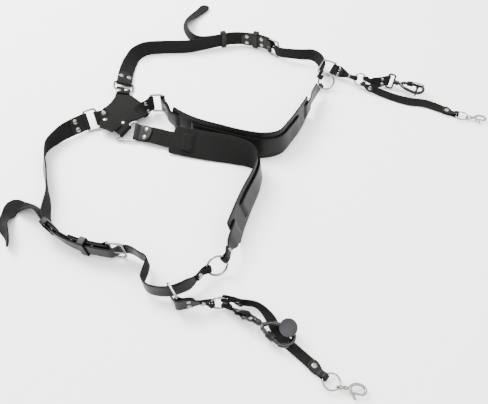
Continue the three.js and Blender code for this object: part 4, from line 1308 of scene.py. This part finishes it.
def find_shift() -> Vector:
    """How far the shared frame lies from the layout, read from a ring both have.

    Returns:
        The offset in millimetres.
    """
    ring = front_ring_of(NEAR)
    points = circle_points(ring.centre, ring.first, ring.second, ring.radius, 18)
    low = [1e9, 1e9, 1e9]
    for i, point in enumerate(points):
        out = (points[(i + 1) % 18] - points[i - 1]).normalized().cross(ring.normal).normalized()
        for a, b in circle(FRONT_RING.wire, 6):
            corner = along(point, (ring.normal, a), (out, b))
            low = [min(value, corner[k]) for k, value in enumerate(low)]
    corner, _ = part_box("near_front_ring")
    return corner / MM - Vector(low)


# Sub-assemblies


@dataclass
class Yoke:
    """The leather back yoke with an arm to each D ring."""

    thickness: float = 2.8
    edge: float = 0.8
    edge_cut: float = 0.25
    corner: float = 4.0
    corner_steps: int = 5
    blend: float = 40
    rivet_back: float = 13
    rivet_sink: float = 0.6

    def arm(self, skin: Skin, kit: Kit, ring: YokeRing, arm: Arm) -> None:
        """Adds one arm, folded round its ring's bow.

        Args:
            skin: The yoke's mesh.
            kit: The shared kit.
            ring: The ring that it holds.
            arm: The arm's place and width.
        """
        span = SIZES.yoke_span
        neck = Vector((arm.x * span, arm.y * span, 0))
        middle = neck.lerp(ring.bow, 0.5)
        lift = (SIZES.yoke_height - SIZES.leather / 2) / SIZES.main_width
        bar = Bar(ring.bow, ring.axis, arm.flap, SIZES.bar_radius(YOKE_RING.wire), SIZES.arm_flap)
        points = [neck, middle, ring.bow]
        rows = [(0, lift)] * 3
        route = Route(points, rows, SIZES.main_width, SIZES.leather, end=bar, blend=self.blend)

        def width_at(distance: float) -> float:
            """The arm narrows towards its ring."""
            return mix(arm.width, SIZES.yoke_arm, smooth(distance / (route.length - 6)))

        steps = steps_between(0, route.length, 3)
        stations = band_stations(route, steps, width_at)
        stations += fold_stations(route, route.length, -1, bar, width_at)
        skin_band(skin, stations, -1)
        top = SIZES.yoke_height + self.thickness / 2
        for way in (-1, 1):
            at, across = route.length - self.rivet_back, way * SIZES.rivet_spread
            kit.stud(route, at, across, arm.flap * SIZES.flap_at)
            face, normal, radius = kit.studs[-2]
            if normal.z > 0 and face.z < top + self.rivet_sink:
                kit.studs[-2] = (Vector((face.x, face.y, top)), UP, radius)

    def outline(self) -> list[Vector]:
        """The middle's outline, rounded at its corners."""
        span = SIZES.yoke_span
        corners = [(x * span, y * span) for x, y in YOKE_OUTLINE]
        path = rounded_path(corners, self.corner, self.corner_steps, 0.4)
        return [Vector((x, y, 0)) for x, y in path]

    def build(self, kit: Kit) -> None:
        """Builds the yoke."""
        skin = Skin()
        outline = self.outline()
        centre = sum(outline, Vector((0, 0, 0))) / len(outline)
        half = self.thickness / 2
        corner = [(self.edge, half), (self.edge_cut, half - self.edge_cut), (0, half - self.edge)]
        rim = [(inset, -height) for inset, height in corner] + corner[::-1]
        rings = []
        for inset, height in rim:
            ring = []
            for point in outline:
                inward = (centre - point).normalized()
                ring.append(along(point, (inward, inset), (UP, SIZES.yoke_height + height)))
            rings.append(ring)
        skin.rings(rings, [Face.EDGE.value], False, Face.FLESH.value)
        for plan in (NEAR, FAR):
            self.arm(skin, kit, YokeRing(plan.side_start), plan.side_arm)
            self.arm(skin, kit, YokeRing(plan.shoulder_start), plan.shoulder_arm)
        kit.hide(skin, "back_yoke")


@dataclass
class Shoulder:
    """A shoulder strap woven through its pad."""

    plan: SidePlan
    front: RoundRing
    blend: float = 35
    rivets_at: float = 19
    tab_rivet_back: float = 15
    taper_from: float = 36
    taper_run: float = 22
    ease_run: float = 18
    ease_early: float = 26
    ease_late: float = 8
    pad_tip: float = 12

    def __post_init__(self) -> None:
        """Lays the route between the yoke's ring and the front ring."""
        plan = self.plan
        ring = YokeRing(plan.shoulder_start)
        side = -plan.outward
        self.start = Bar(ring.bar, ring.width, side, SIZES.bar_radius(YOKE_RING.wire), SIZES.flap)
        self.end = self.front.contact(plan.front_ring[5], side, FRONT_RING.wire, SIZES.short_flap)
        points = plan_points(self.start.point, self.end.point, plan.shoulder_rows)
        rows = forms(plan.shoulder_rows)
        ends = (self.start, self.end, self.blend)
        self.route = Route(points, rows, SIZES.pad_width, SIZES.pad, *ends)
        self.pad_end = plan.pad_start + SIZES.pad_length
        inset, pitch = SIZES.slit_inset, SIZES.slit_pitch
        self.slits = [plan.pad_start + inset, plan.pad_start + inset + pitch]
        self.slits += [self.pad_end - inset - pitch, self.pad_end - inset]

    def offset_at(self, distance: float) -> float:
        """Which side of the pad the strap runs on."""
        weave = self.plan.outward * ((SIZES.pad + SIZES.leather) / 2 + SIZES.weave_gap)
        reach = SIZES.slit_reach - 2
        way = 1.0
        for i, slit in enumerate(self.slits):
            way += (2 if i % 2 else -2) * smooth((distance - slit + reach) / (2 * reach))
        onto = smooth((distance - self.plan.pad_start + self.ease_early) / self.ease_run)
        off = smooth((distance - self.pad_end - self.ease_late) / self.ease_run)
        return weave * way * onto * (1 - off)

    def width_at(self, distance: float) -> float:
        """The strap narrows to a tab at the front ring."""
        share = smooth((distance - self.route.length + self.taper_from) / self.taper_run)
        return mix(SIZES.main_width, SIZES.ring_tab, share)

    def pad_width_at(self, distance: float) -> float:
        """The pad's rounded ends."""
        near_tip = min(distance - self.plan.pad_start, self.pad_end - distance)
        return SIZES.pad_width * tip_factor(near_tip, self.pad_tip)

    def build(self, kit: Kit) -> None:
        """Builds the strap and the pad."""
        route, name = self.route, self.plan.name
        bars = (self.start, self.end)
        stations = strap_stations(route, route.length, bars, self.width_at, self.offset_at)
        skin = Skin()
        skin_band(skin, stations, self.plan.outward)
        kit.hide(skin, f"{name}_shoulder_strap")
        flap = -self.plan.outward * SIZES.flap_at
        for way in (-1, 1):
            kit.stud(route, self.rivets_at, way * SIZES.rivet_spread, flap)
        kit.stud(route, route.length - self.tab_rivet_back, 0, flap)

        start, end = self.plan.pad_start, self.pad_end
        steps = [start + value for value in (0, 0.3, 0.8, 1.5, 2.6)]
        steps += steps_between(start + 4, end - 4, SIZES.band_step)
        steps += [end - value for value in (2.6, 1.5, 0.8, 0.3, 0)]
        pad = Skin()
        stations = band_stations(route, steps, self.pad_width_at, none_at, SIZES.pad - SIZES.pad_puff)
        skin_band(pad, stations, self.plan.outward, SIZES.pad_puff)
        thing = kit.hide(pad, f"{name}_shoulder_pad")


@dataclass
class SideStraps:
    """The side strap with its buckle, and the front strap that runs through it."""

    plan: SidePlan
    front: RoundRing
    blend: float = 35
    prong: float = 1.3
    prong_reach: float = 27
    rivets_at: float = 19
    buckle_rivets_back: tuple[float, float] = (22, 56)
    tab_rivet_back: float = 15
    taper_from: float = 38
    taper_run: float = 22
    tail_gap: float = 9
    tail_overlap: float = 14
    tail_blend: float = 26
    keeper_corner: float = 2.2

    def __post_init__(self) -> None:
        """Lays the route that both straps share."""
        plan = self.plan
        ring = YokeRing(plan.side_start)
        self.start = Bar(ring.bar, ring.width, 1, SIZES.bar_radius(YOKE_RING.wire), SIZES.flap)
        self.end = self.front.contact(plan.front_ring[4], -1, FRONT_RING.wire, SIZES.short_flap)
        points = plan_points(self.start.point, self.end.point, plan.side_rows)
        rows = forms(plan.side_rows)
        ends = (self.start, self.end, self.blend)
        self.route = Route(points, rows, SIZES.main_width, SIZES.leather, *ends)
        self.heel = plan.buckle_share * self.route.length
        height = SIZES.bar_radius(BUCKLE.wire)
        first, last = self.route.frame(self.heel), self.route.frame(self.heel + BUCKLE.depth)
        point = along(first.point, (first.inner, height))
        travel = (along(last.point, (last.inner, height)) - point).normalized()
        width = along(first.width, (travel, -first.width.dot(travel))).normalized()
        self.buckle = Frame(point, width, travel, travel.cross(width))

    def wide_at(self, _: float) -> float:
        """The side strap's width."""
        return SIZES.main_width

    def front_width_at(self, distance: float) -> float:
        """The front strap narrows to a tab at the front ring."""
        share = smooth((distance - self.route.length + self.taper_from) / self.taper_run)
        return mix(SIZES.front_width, SIZES.ring_tab, share)

    def front_offset_at(self, distance: float) -> float:
        """The front strap runs outside the side strap, then through the buckle."""
        through = SIZES.bar_radius(BUCKLE.wire) + BUCKLE.wire
        through += SIZES.layer_gap + SIZES.leather / 2
        rise = smooth((distance - self.heel - 3) / (BUCKLE.depth - 5))
        fall = smooth((distance - self.heel - BUCKLE.depth - 4) / 24)
        return mix(mix(SIZES.front_offset, through, rise), 0, fall)

    def tail(self) -> tuple[Route, float]:
        """The loose tail's route, and where it leaves the side strap."""
        leave = self.heel - SIZES.sliding_keeper - self.tail_gap
        points, rows, frames = [], [], []
        for distance in (leave + self.tail_overlap, leave):
            here = self.route.frame(distance)
            lean, lift = self.route.form_at(distance)
            turned = 180 - lean
            rows.append((turned - 360 if turned > 180 else turned, lift))
            points.append(along(here.point, (here.inner, SIZES.front_offset)))
            frames.append(here)
        root = points[1]
        tip = root + Vector((self.plan.tail[0], self.plan.tail[1], 0)) * SIZES.tail_span
        points += plan_points(root, tip, self.plan.tail_rows)
        rows += forms(self.plan.tail_rows)
        bent = Route(points, rows, SIZES.main_width, SIZES.leather, blend=self.tail_blend)
        raw, _, _ = bent.place(0)
        bent.start_anchor = (frames[0].width.copy(), points[0] - raw)
        return bent, leave + self.tail_overlap

    def keeper(self, kit: Kit, name: str, distance: float, low: float, high: float) -> None:
        """Builds a leather keeper round the straps.

        Args:
            kit: The shared kit.
            name: The keeper's node.
            distance: Where it sits on the route.
            low: The lowest layer's offset that it holds.
            high: The highest layer's offset that it holds.
        """
        here = self.route.frame(distance)
        half = SIZES.main_width / 2 + SIZES.keeper_play + SIZES.keeper_wall / 2
        bottom = low - SIZES.leather / 2 - SIZES.keeper_play - SIZES.keeper_wall / 2
        top = high + SIZES.leather / 2 + SIZES.keeper_play + SIZES.keeper_wall / 2
        corners = [(-half, bottom), (half, bottom), (half, top), (-half, top)]
        path = rounded_path(corners, self.keeper_corner, 5)
        size = len(path)
        stations = []
        for i, (a, b) in enumerate(path):
            before, after = Vector(path[i - 1]), Vector(path[(i + 1) % size])
            run = (after - before).normalized()
            normal = here.width * run.y - here.inner * run.x
            point = along(here.point, (here.width, a), (here.inner, b))
            sizes = (SIZES.keeper_length, SIZES.keeper_wall)
            stations.append(Station(point, here.travel, normal, *sizes))
        skin = Skin()
        skin_band(skin, stations, 1, 0.0, True)
        kit.hide(skin, name)

    def build(self, kit: Kit) -> None:
        """Builds both straps, the buckle, the keepers and the tail."""
        route, name, heel = self.route, self.plan.name, self.heel
        back = Bar(self.buckle.point, self.buckle.width, 1, self.start.radius, SIZES.buckle_flap)
        stations = strap_stations(route, heel, (self.start, back), self.wide_at)
        skin = Skin()
        skin_band(skin, stations, -1)
        kit.hide(skin, f"{name}_side_strap")
        for at in (self.rivets_at, *(heel - value for value in self.buckle_rivets_back)):
            for way in (-1, 1):
                kit.stud(route, at, way * SIZES.rivet_spread, SIZES.flap_at)
        fixed, sliding = heel - SIZES.fixed_keeper, heel - SIZES.sliding_keeper
        self.keeper(kit, f"{name}_keeper_fixed", fixed, SIZES.front_offset, SIZES.flap_at)
        self.keeper(kit, f"{name}_keeper_sliding", sliding, SIZES.front_offset, 0)
        self.build_buckle(kit)
        self.build_front(kit)

    def build_buckle(self, kit: Kit) -> None:
        """Builds the buckle's frame and prong."""
        name, here = self.plan.name, self.buckle
        skin = frame_skin(BUCKLE, here.point, here.width, here.travel, SIZES.main_width)
        kit.metal(skin, f"{name}_buckle_frame", Slot.CHROME)
        collar = BUCKLE.wire + SIZES.layer_gap + self.prong
        prong = Skin()
        loop = circle_points(here.point, here.travel, here.inner, collar, 20)
        skin_wire(prong, loop, here.travel.cross(here.inner).normalized(), self.prong, True, 10)
        root = along(here.point, (here.inner, -collar), (here.travel, -0.5))
        middle = along(root, (here.travel, self.prong_reach * 0.5))
        tip = along(root, (here.travel, self.prong_reach))
        rounded_end_wire(prong, [root, middle, tip], here.width, self.prong, 10)
        kit.metal(prong, f"{name}_buckle_prong", Slot.CHROME)

    def build_front(self, kit: Kit) -> None:
        """Builds the front strap and its tail."""
        route, name = self.route, self.plan.name
        bent, leave = self.tail()
        width = SIZES.front_width

        def tail_width_at(distance: float) -> float:
            """The tail's rounded tip."""
            return width * tip_factor(bent.length - distance, width * 1.4)

        steps = [bent.length - value for value in (0, 0.6, 1.4, 2.6, 4.2, 6.4)]
        steps += steps_between(bent.length - 9, 4, SIZES.band_step)
        tail = band_stations(bent, steps, tail_width_at)
        for station in tail:
            station.out = -station.out
        steps = steps_between(leave + 6, route.length, 3)
        stations = tail + band_stations(route, steps, self.front_width_at, self.front_offset_at)
        stations += fold_stations(route, route.length, -1, self.end, self.front_width_at)
        skin = Skin()
        skin_band(skin, stations, -1)
        kit.hide(skin, f"{name}_front_strap")
        kit.stud(route, route.length - self.tab_rivet_back, 0, self.end.side * SIZES.flap_at)


def build_short_strap(
    kit: Kit,
    name: str,
    route: Route,
    bars: tuple[Bar, Bar],
    width_at: Law,
    studs: list[tuple[float, float, int]],
    step: float = 2.6,
) -> None:
    """Builds a short strap that folds round a bar at each end.

    Args:
        kit: The shared kit.
        name: The strap's node.
        route: Its route.
        bars: The bars at its start and its end.
        width_at: Its width at a distance.
        studs: Rows of distance, across and side for its rivets.
        step: The longest step between its stations.
    """
    stations = strap_stations(route, route.length, bars, width_at, step=step)
    skin = Skin()
    skin_band(skin, stations, -1)
    kit.hide(skin, name)
    for at, across, side in studs:
        rise = flap_rise(min(at, route.length - at), bars[0].radius)
        kit.stud(route, at, across, side * rise, SIZES.rivet - 0.6)


@dataclass
class Local:
    """A frame with X along a heading, Y to its left, flipped on the far side, and Z up."""

    origin: Vector
    heading: float
    flip: int = 1

    def __post_init__(self) -> None:
        """Works out its axes."""
        self.x = bearing(self.heading)
        self.y = UP.cross(self.x) * self.flip

    def at(self, a: float, b: float, c: float = 0.0) -> Vector:
        """The point at local coordinates."""
        return along(self.origin, (self.x, a), (self.y, b), (UP, c))


@dataclass
class Leash:
    """The slider, link, ring, safety strap with its clasp, and hook on one side."""

    plan: SidePlan
    route: Route
    link_flaps: tuple[float, float] = (24, 15)
    link_blend: float = 22
    safety_flaps: tuple[float, float] = (24, 26)
    safety_blend: float = 24
    hook_flaps: tuple[float, float] = (11, 15)
    hook_blend: float = 16

    def build(self, kit: Kit) -> None:
        """Builds the whole leash."""
        plan, name = self.plan, self.plan.name
        here = self.route.frame(plan.slider_share * self.route.length)
        inward = here.inner.copy()
        inward.rotate(Matrix.Rotation(math.radians(plan.slider_turn), 3, here.width))
        centre = along(here.point, (inward, plan.slider_inset - SLIDER.depth / 2))
        deep = SLIDER.depth / 2
        skin = frame_skin(SLIDER, centre, here.width, inward, SIZES.front_width, -deep)
        kit.metal(skin, f"{name}_slider_ring", Slot.CHROME)
        outer = along(centre, (inward, -deep))

        span = SIZES.leash_span
        middle = outer + Vector((plan.leash_ring_at[0], plan.leash_ring_at[1], 0)) * span
        middle.z = plan.leash_ring_at[2] * span
        facing, tilt, link_at, hook_at, safety_at = plan.leash_ring
        ring = RoundRing(middle, facing, tilt, LEASH_RING.radius, SIZES.link_tab)
        ring.build(kit, f"{name}_leash_ring", LEASH_RING.wire, Slot.CHROME)
        end = ring.contact(link_at, -1, LEASH_RING.wire, self.link_flaps[1])
        self.build_link(kit, outer, here.width, end)
        self.build_safety(kit, ring, safety_at)
        self.build_hook_strap(kit, ring, hook_at)

    def build_link(self, kit: Kit, outer: Vector, width: Vector, end: Bar) -> None:
        """Builds the link from the slider's outer bar to the leash ring."""
        start = Bar(outer, width, 1, SIZES.bar_radius(SLIDER.wire), self.link_flaps[0])
        points = [outer.lerp(end.point, share) for share in (0, 0.5, 1)]
        rows = [(self.plan.leash_lean, 0.1)] * 3
        ends = (start, end, self.link_blend)
        route = Route(points, rows, SIZES.main_width, SIZES.leather, *ends)

        def width_at(distance: float) -> float:
            """The link narrows towards the ring."""
            share = smooth((distance - 12) / (route.length - 22))
            return mix(SIZES.link_width, SIZES.link_tab, share)

        studs = [(15, -5.2, 1), (15, 5.2, 1), (route.length - 11, 0, -1)]
        build_short_strap(kit, f"{self.plan.name}_leash_link", route, (start, end), width_at, studs)

    def build_safety(self, kit: Kit, ring: RoundRing, safety_at: float) -> None:
        """Builds the safety strap, its key ring and its clasp."""
        plan, name = self.plan, self.plan.name
        place = ring.centre + Vector((plan.safety_at[0], plan.safety_at[1], 0)) * SIZES.safety_span
        place.z = KEY_RING.rest
        start = ring.contact(safety_at, 1, LEASH_RING.wire, self.safety_flaps[0])
        line = place - start.point
        line.z = 0
        line.normalize()
        facing = math.degrees(math.atan2(line.y, line.x))
        key = RoundRing(place, facing, 90, KEY_RING.radius, SIZES.link_tab)
        key.build(kit, f"{name}_key_ring", KEY_RING.wire, Slot.NICKEL)
        end = key.contact(90, 1, KEY_RING.wire, self.safety_flaps[1])
        points = plan_points(start.point, end.point, plan.safety_rows)
        rows, ends = forms(plan.safety_rows), (start, end, self.safety_blend)
        route = Route(points, rows, SIZES.safety_width, SIZES.leather, *ends)

        def width_at(distance: float) -> float:
            """The strap narrows to a tab at each end."""
            nearest = min(distance, route.length - distance)
            return mix(SIZES.link_tab, SIZES.safety_width, smooth((nearest - 3) / 14))

        studs = [(17, 0, 1), (route.length - 18, 0, 1)]
        build_short_strap(kit, f"{name}_safety_strap", route, (start, end), width_at, studs)
        Clasp(plan, along(place, (line, KEY_RING.radius))).build(kit)

    def build_hook_strap(self, kit: Kit, ring: RoundRing, hook_at: float) -> None:
        """Builds the short strap that holds the hook, and the hook."""
        plan, name = self.plan, self.plan.name
        bar = ring.centre + Vector((plan.eye_at[0], plan.eye_at[1], 0)) * SIZES.leash_span
        bar.z = plan.eye_at[2] * SIZES.leash_span
        local = Local(bar, plan.hook_heading, plan.flip)
        lean = math.radians(plan.hook_strap_lean)
        axis = UP.cross(local.x) * math.cos(lean) + UP * math.sin(lean)
        start = ring.contact(hook_at, -1, LEASH_RING.wire, self.hook_flaps[0])
        end = Bar(bar, axis, -1, SIZES.bar_radius(HOOK_EYE.wire), self.hook_flaps[1])
        points = [start.point.lerp(bar, share) for share in (0, 0.5, 1)]
        rows = [(plan.hook_strap_lean, 0.1)] * 3
        ends = (start, end, self.hook_blend)
        route = Route(points, rows, SIZES.hook_width, SIZES.leather, *ends)

        def width_at(distance: float) -> float:
            """The strap widens from the ring to the hook's eye."""
            return mix(SIZES.link_tab, SIZES.hook_width, smooth((distance - 7) / 11))

        studs = [(route.length - 10.5, across, -1) for across in (-4.6, 4.6)]
        build_short_strap(kit, f"{name}_hook_strap", route, (start, end), width_at, studs)
        Hook(plan, local, axis).build(kit)


@dataclass
class Clasp:
    """The lobster clasp on the safety strap."""

    plan: SidePlan
    wire_at: Vector
    wire: float = 1.9
    eye: float = 4.2
    eye_wire: float = 1.1
    barrel: float = 2.6
    barrel_end: float = 9.0
    bend: Pairs = (
        (9.4, 0), (11.4, 0.4), (14, 3.8), (20, 6.4), (27, 5.4), (31, 1), (30.6, -3.4), (27.6, -6),
    )
    lug: Pairs = ((13.2, 2), (13, -2.7))
    lever_wire: float = 1.425
    hinge: tuple[float, float] = (13.6, -5.0)
    tip: tuple[float, float] = (25.4, -6.2)
    thumb: tuple[float, float] = (18.0, -12.5)

    def build(self, kit: Kit) -> None:
        """Builds the swivel, the body and the lever."""
        name = self.plan.name
        inset = self.eye - self.eye_wire - KEY_RING.wire - 1.5 * SIZES.layer_gap
        local = Local(self.wire_at, self.plan.clasp_heading)
        skin = Skin()
        ring = circle_points(local.at(inset, 0), local.x, UP, self.eye, 28)
        skin_wire(skin, ring, local.x.cross(UP).normalized(), self.eye_wire, True, 12)
        reach, big = self.barrel_end - self.eye, self.barrel
        profile = [(-0.2, 0), (-0.2, 1.2), (0.3, 2), (1, big)]
        profile += [(reach - 0.8, big), (reach, big - 0.5), (reach, 0)]
        skin_lathe(skin, local.at(inset + self.eye, 0), local.x, profile)
        kit.metal(skin, f"{name}_clasp_swivel", Slot.NICKEL)

        body = Local(local.at(inset, 0), self.plan.clasp_heading)
        skin = Skin()
        for way, wire in ((self.bend, self.wire), (self.lug, self.wire * 0.95)):
            rounded_end_wire(skin, smooth_path([body.at(a, b) for a, b in way], 1.0), UP, wire)
        kit.metal(skin, f"{name}_clasp_body", Slot.NICKEL)

        hinge = body.at(*self.hinge)
        root = body.at(self.hinge[0] + 1, self.hinge[1] - 0.5)
        pin = [(0, 0), (0, 1.3), (0.3, 1.6), (3.5, 1.6), (3.8, 1.3), (3.8, 0)]
        skin = Skin()
        skin_lathe(skin, along(hinge, (UP, -1.9)), UP, pin)
        for start, end in ((hinge, body.at(*self.tip)), (root, body.at(*self.thumb))):
            rounded_end_wire(skin, [start, start.lerp(end, 0.5), end], UP, self.lever_wire)
        kit.metal(skin, f"{name}_clasp_lever", Slot.NICKEL, f"{name}_lever")


@dataclass
class Hook:
    """The screw-lock hook with the camera plate on it."""

    plan: SidePlan
    local: Local
    axis: Vector
    wire: float = 3.0
    barrel: float = 4.6
    barrel_start: float = 14.0
    barrel_end: float = 23.0
    neck: float = 23.5
    bend_at: float = 58.0
    bend_radius: float = 14.0
    lug: Pairs = ((27.2, 0.5), (27.8, -3), (29.6, -5.6))
    gate_wire: float = 2.7
    gate_hinge: tuple[float, float] = (33.0, -6.9)
    gate_tip: tuple[float, float] = (57.0, -13.4)
    sleeve_play: float = 0.4
    sleeve_wall: float = 1.9
    sleeve_start: float = 5.0
    sleeve_length: float = 12.0
    sleeve_ribs: int = 8
    plate_at: float = 78.0
    plate_radius: float = 12.0
    plate_thickness: float = 5.0
    stud: float = 3.1
    stud_length: float = 4.0
    loop: float = 7.5
    loop_wire: float = 1.5

    def build(self, kit: Kit) -> None:
        """Builds the eye, the body, the gate, the sleeve and the plate."""
        self.build_eye(kit)
        self.build_body(kit)
        self.build_gate(kit)
        self.build_plate(kit)

    def build_eye(self, kit: Kit) -> None:
        """Builds the swivel eye and its barrel."""
        local = self.local
        skin = frame_skin(HOOK_EYE, local.origin, self.axis, local.x, SIZES.hook_width)
        reach, big = self.barrel_end - self.barrel_start, self.barrel
        profile = [(-2, 0), (-2, 2.4), (-0.6, 3.4), (0.3, big - 0.3), (0.8, big), (2.6, big)]
        profile += [(3.0, big - 0.5), (3.6, big - 0.5), (4.0, big)]
        profile += [(reach - 0.8, big), (reach, big - 0.7), (reach, 0)]
        skin_lathe(skin, local.at(self.barrel_start, 0), local.x, profile)
        kit.metal(skin, f"{self.plan.name}_hook_eye", Slot.GUNMETAL)

    def bend_point(self, degrees: float) -> tuple[float, float]:
        """A point of the body's round end."""
        turn = math.radians(degrees)
        reach = self.bend_radius
        return self.bend_at + reach * math.cos(turn), reach * math.sin(turn)

    def build_body(self, kit: Kit) -> None:
        """Builds the bent body and the lug that carries the gate."""
        local = self.local
        bend = [(self.neck, 0), (27.5, 0.6), (31, 4), (36, 8), (46, 11.5)]
        for turn in (90, 68, 45, 22, 0, -22, -45, -68, -84):
            bend.append(self.bend_point(turn))
        skin = Skin()
        for way, wire, sides in ((bend, self.wire, 18), (self.lug, self.wire * 0.92, 16)):
            spine = smooth_path([local.at(a, b) for a, b in way], 1.5)
            rounded_end_wire(skin, spine, UP * self.plan.flip, wire, sides)
        kit.metal(skin, f"{self.plan.name}_hook_body", Slot.GUNMETAL)

    def build_gate(self, kit: Kit) -> None:
        """Builds the gate on its hinge and the knurled sleeve on the gate."""
        local, name = self.local, self.plan.name
        hinge, tip = local.at(*self.gate_hinge), local.at(*self.gate_tip)
        travel = (tip - hinge).normalized()
        skin = Skin()
        pin = [(0, 0), (0, 2.3), (0.4, 2.7), (4.8, 2.7), (5.2, 2.3), (5.2, 0)]
        skin_lathe(skin, along(hinge, (UP, -2.6)), UP, pin)
        length = (tip - hinge).length
        rod = [(0, 0), (0, 2.2), (0.5, 2.65), (length - 0.6, 2.65), (length, 2.1), (length, 0)]
        skin_lathe(skin, hinge, travel, rod)
        kit.metal(skin, f"{name}_hook_gate", Slot.GUNMETAL, f"{name}_gate")

        bore = self.gate_wire + self.sleeve_play
        wall, size = bore + self.sleeve_wall, self.sleeve_length
        low = wall - 0.35
        profile = [(0, bore), (0, wall - 0.4), (0.4, wall), (1.6, wall), (2, low)]
        pitch = (size - 4.4) / self.sleeve_ribs
        for i in range(self.sleeve_ribs):
            at = 2.2 + pitch * i
            profile += [(at, low), (at + pitch * 0.35, wall), (at + pitch * 0.65, wall)]
        profile += [(size - 2, low), (size - 1.6, wall), (size - 0.4, wall)]
        profile += [(size, wall - 0.4), (size, bore)]
        skin = Skin()
        skin_lathe(skin, along(hinge, (travel, self.sleeve_start)), travel, profile, 24, True)
        kit.metal(skin, f"{name}_hook_sleeve", Slot.GUNMETAL, f"{name}_sleeve")

    def build_plate(self, kit: Kit) -> None:
        """Builds the loop, the stud and the round camera plate."""
        local = self.local
        held = local.at(*self.bend_point(self.plate_at))
        rise = (local.y * -0.42 + UP * 0.9).normalized()
        tangent = (local.x - local.y * 0.2).normalized()
        across = rise.cross(tangent).normalized()
        middle = along(held, (rise, 2.2))
        skin = Skin()
        loop = circle_points(middle, rise, across, self.loop, 36)
        skin_wire(skin, loop, rise.cross(across).normalized(), self.loop_wire, True, 12)
        low, big, stud = self.stud_length, self.plate_radius, self.stud
        top = low + self.plate_thickness
        profile = [(0, 0), (0, stud), (low, stud), (low, big - 0.8), (low + 0.6, big)]
        profile += [(top - 0.6, big), (top, big - 0.7), (top, 8.6), (top - 0.3, 8.4)]
        profile += [(top - 0.3, 3.4), (top, 3.2), (top, 0)]
        skin_lathe(skin, along(middle, (rise, self.loop - 0.5)), rise, profile, 40)
        kit.metal(skin, f"{self.plan.name}_camera_plate", Slot.GUNMETAL)


# The stage


@dataclass
class Stage:
    """The floor, the lights and the camera."""

    camera_at: tuple[float, float, float] = (-0.0333, -0.688, 0.6427)
    camera_tip: float = 40.2
    lens: float = 37.99
    floor_size: float = 6.0
    sky: float = 4.2

    def build(self) -> None:
        """Builds the stage."""
        scene = bpy.context.scene
        mesh = bpy.data.meshes.new("floor")
        half = self.floor_size / 2
        corners = [(-half, -half, 0), (half, -half, 0), (half, half, 0), (-half, half, 0)]
        mesh.from_pydata(corners, [], [(0, 1, 2, 3)])
        floor = bpy.data.objects.new("floor", mesh)
        floor.data.materials.append(self.floor_material())
        scene.collection.objects.link(floor)

        world = bpy.data.worlds.new("studio")
        world.use_nodes = True
        back = world.node_tree.nodes["Background"]
        back.inputs["Color"].default_value = (1, 1, 1, 1)
        nodes = world.node_tree.nodes
        where = nodes.new("ShaderNodeTexCoord")
        parts = nodes.new("ShaderNodeSeparateXYZ")
        ramp = nodes.new("ShaderNodeMapRange")
        socket_set(ramp, From_Min=0.1, From_Max=0.95, To_Min=0.35, To_Max=self.sky)
        join(
            world.node_tree,
            (where, "Generated", parts, "Vector"),
            (parts, "Z", ramp, "Value"),
            (ramp, "Result", back, "Strength"),
        )
        scene.world = world
        self.lamp("key", (-1.1, 0.9, 1.6), 1.0, 110)
        self.lamp("fill", (1.3, -0.8, 1.8), 1.6, 14)

        data = bpy.data.cameras.new("camera")
        data.lens = self.lens
        data.sensor_width = 36
        data.clip_start = 0.01
        eye = bpy.data.objects.new("camera", data)
        eye.location = self.camera_at
        eye.rotation_euler = (math.radians(self.camera_tip), 0, 0)
        scene.collection.objects.link(eye)
        scene.camera = eye

    def floor_material(self) -> bpy.types.Material:
        """A plain pale floor."""
        material = bpy.data.materials.new("pale_floor")
        material.use_nodes = True
        shader = material.node_tree.nodes["Principled BSDF"]
        socket_set(shader, Base_Color=(0.95, 0.95, 0.95, 1), Roughness=0.9, Specular_IOR_Level=0.1)
        return material

    def lamp(self, name: str, place: tuple[float, float, float], size: float, power: float) -> None:
        """Adds a soft square lamp that looks at the middle."""
        data = bpy.data.lights.new(name, "AREA")
        data.size = size
        data.energy = power
        thing = bpy.data.objects.new(name, data)
        thing.location = place
        thing.rotation_euler = (-Vector(place)).to_track_quat("-Z", "Y").to_euler()
        bpy.context.scene.collection.objects.link(thing)


def build_repeats(kit: Kit) -> None:
    """Builds the rivet heads at the places noted."""
    repeats = Repeats()
    heads = []
    for point, normal, radius in kit.studs:
        ahead = normal.orthogonal().normalized()
        heads.append((point, turn_of(normal, ahead), radius / SIZES.rivet))
    values = {
        "Length": SIZES.rivet * MM,
        "Width": SIZES.rivet * MM,
        "Height": SIZES.rivet_rise * MM,
        "Segments": 20,
        "Rings": 10,
        "Material": kit.materials["nickel"],
    }
    kit.dress(repeats.place("rivet_heads", heads, values), ROOT, Slot.NICKEL)


def build_side(kit: Kit, plan: SidePlan) -> None:
    """Builds one arm loop and its leash.

    Args:
        kit: The shared kit.
        plan: The side's layout.
    """
    YokeRing(plan.side_start).build(kit, f"{plan.name}_side_ring")
    YokeRing(plan.shoulder_start).build(kit, f"{plan.name}_shoulder_ring")
    front = front_ring_of(plan)
    front.build(kit, f"{plan.name}_front_ring", FRONT_RING.wire, Slot.CHROME)
    Shoulder(plan, front).build(kit)
    straps = SideStraps(plan, front)
    straps.build(kit)
    Leash(plan, straps.route).build(kit)


def main() -> None:
    """Builds the harness and its stage in order."""
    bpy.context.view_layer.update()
    relief = Relief.build()
    kit = Kit({name: finish.build(relief) for name, finish in FINISHES.items()})
    Shift.offset = find_shift()
    log.info("layout to frame: %s", [round(value, 3) for value in Shift.offset])
    Yoke().build(kit)
    for plan in (NEAR, FAR):
        build_side(kit, plan)
    build_repeats(kit)
    Stage().build()


if __name__ == "__main__":
    main()
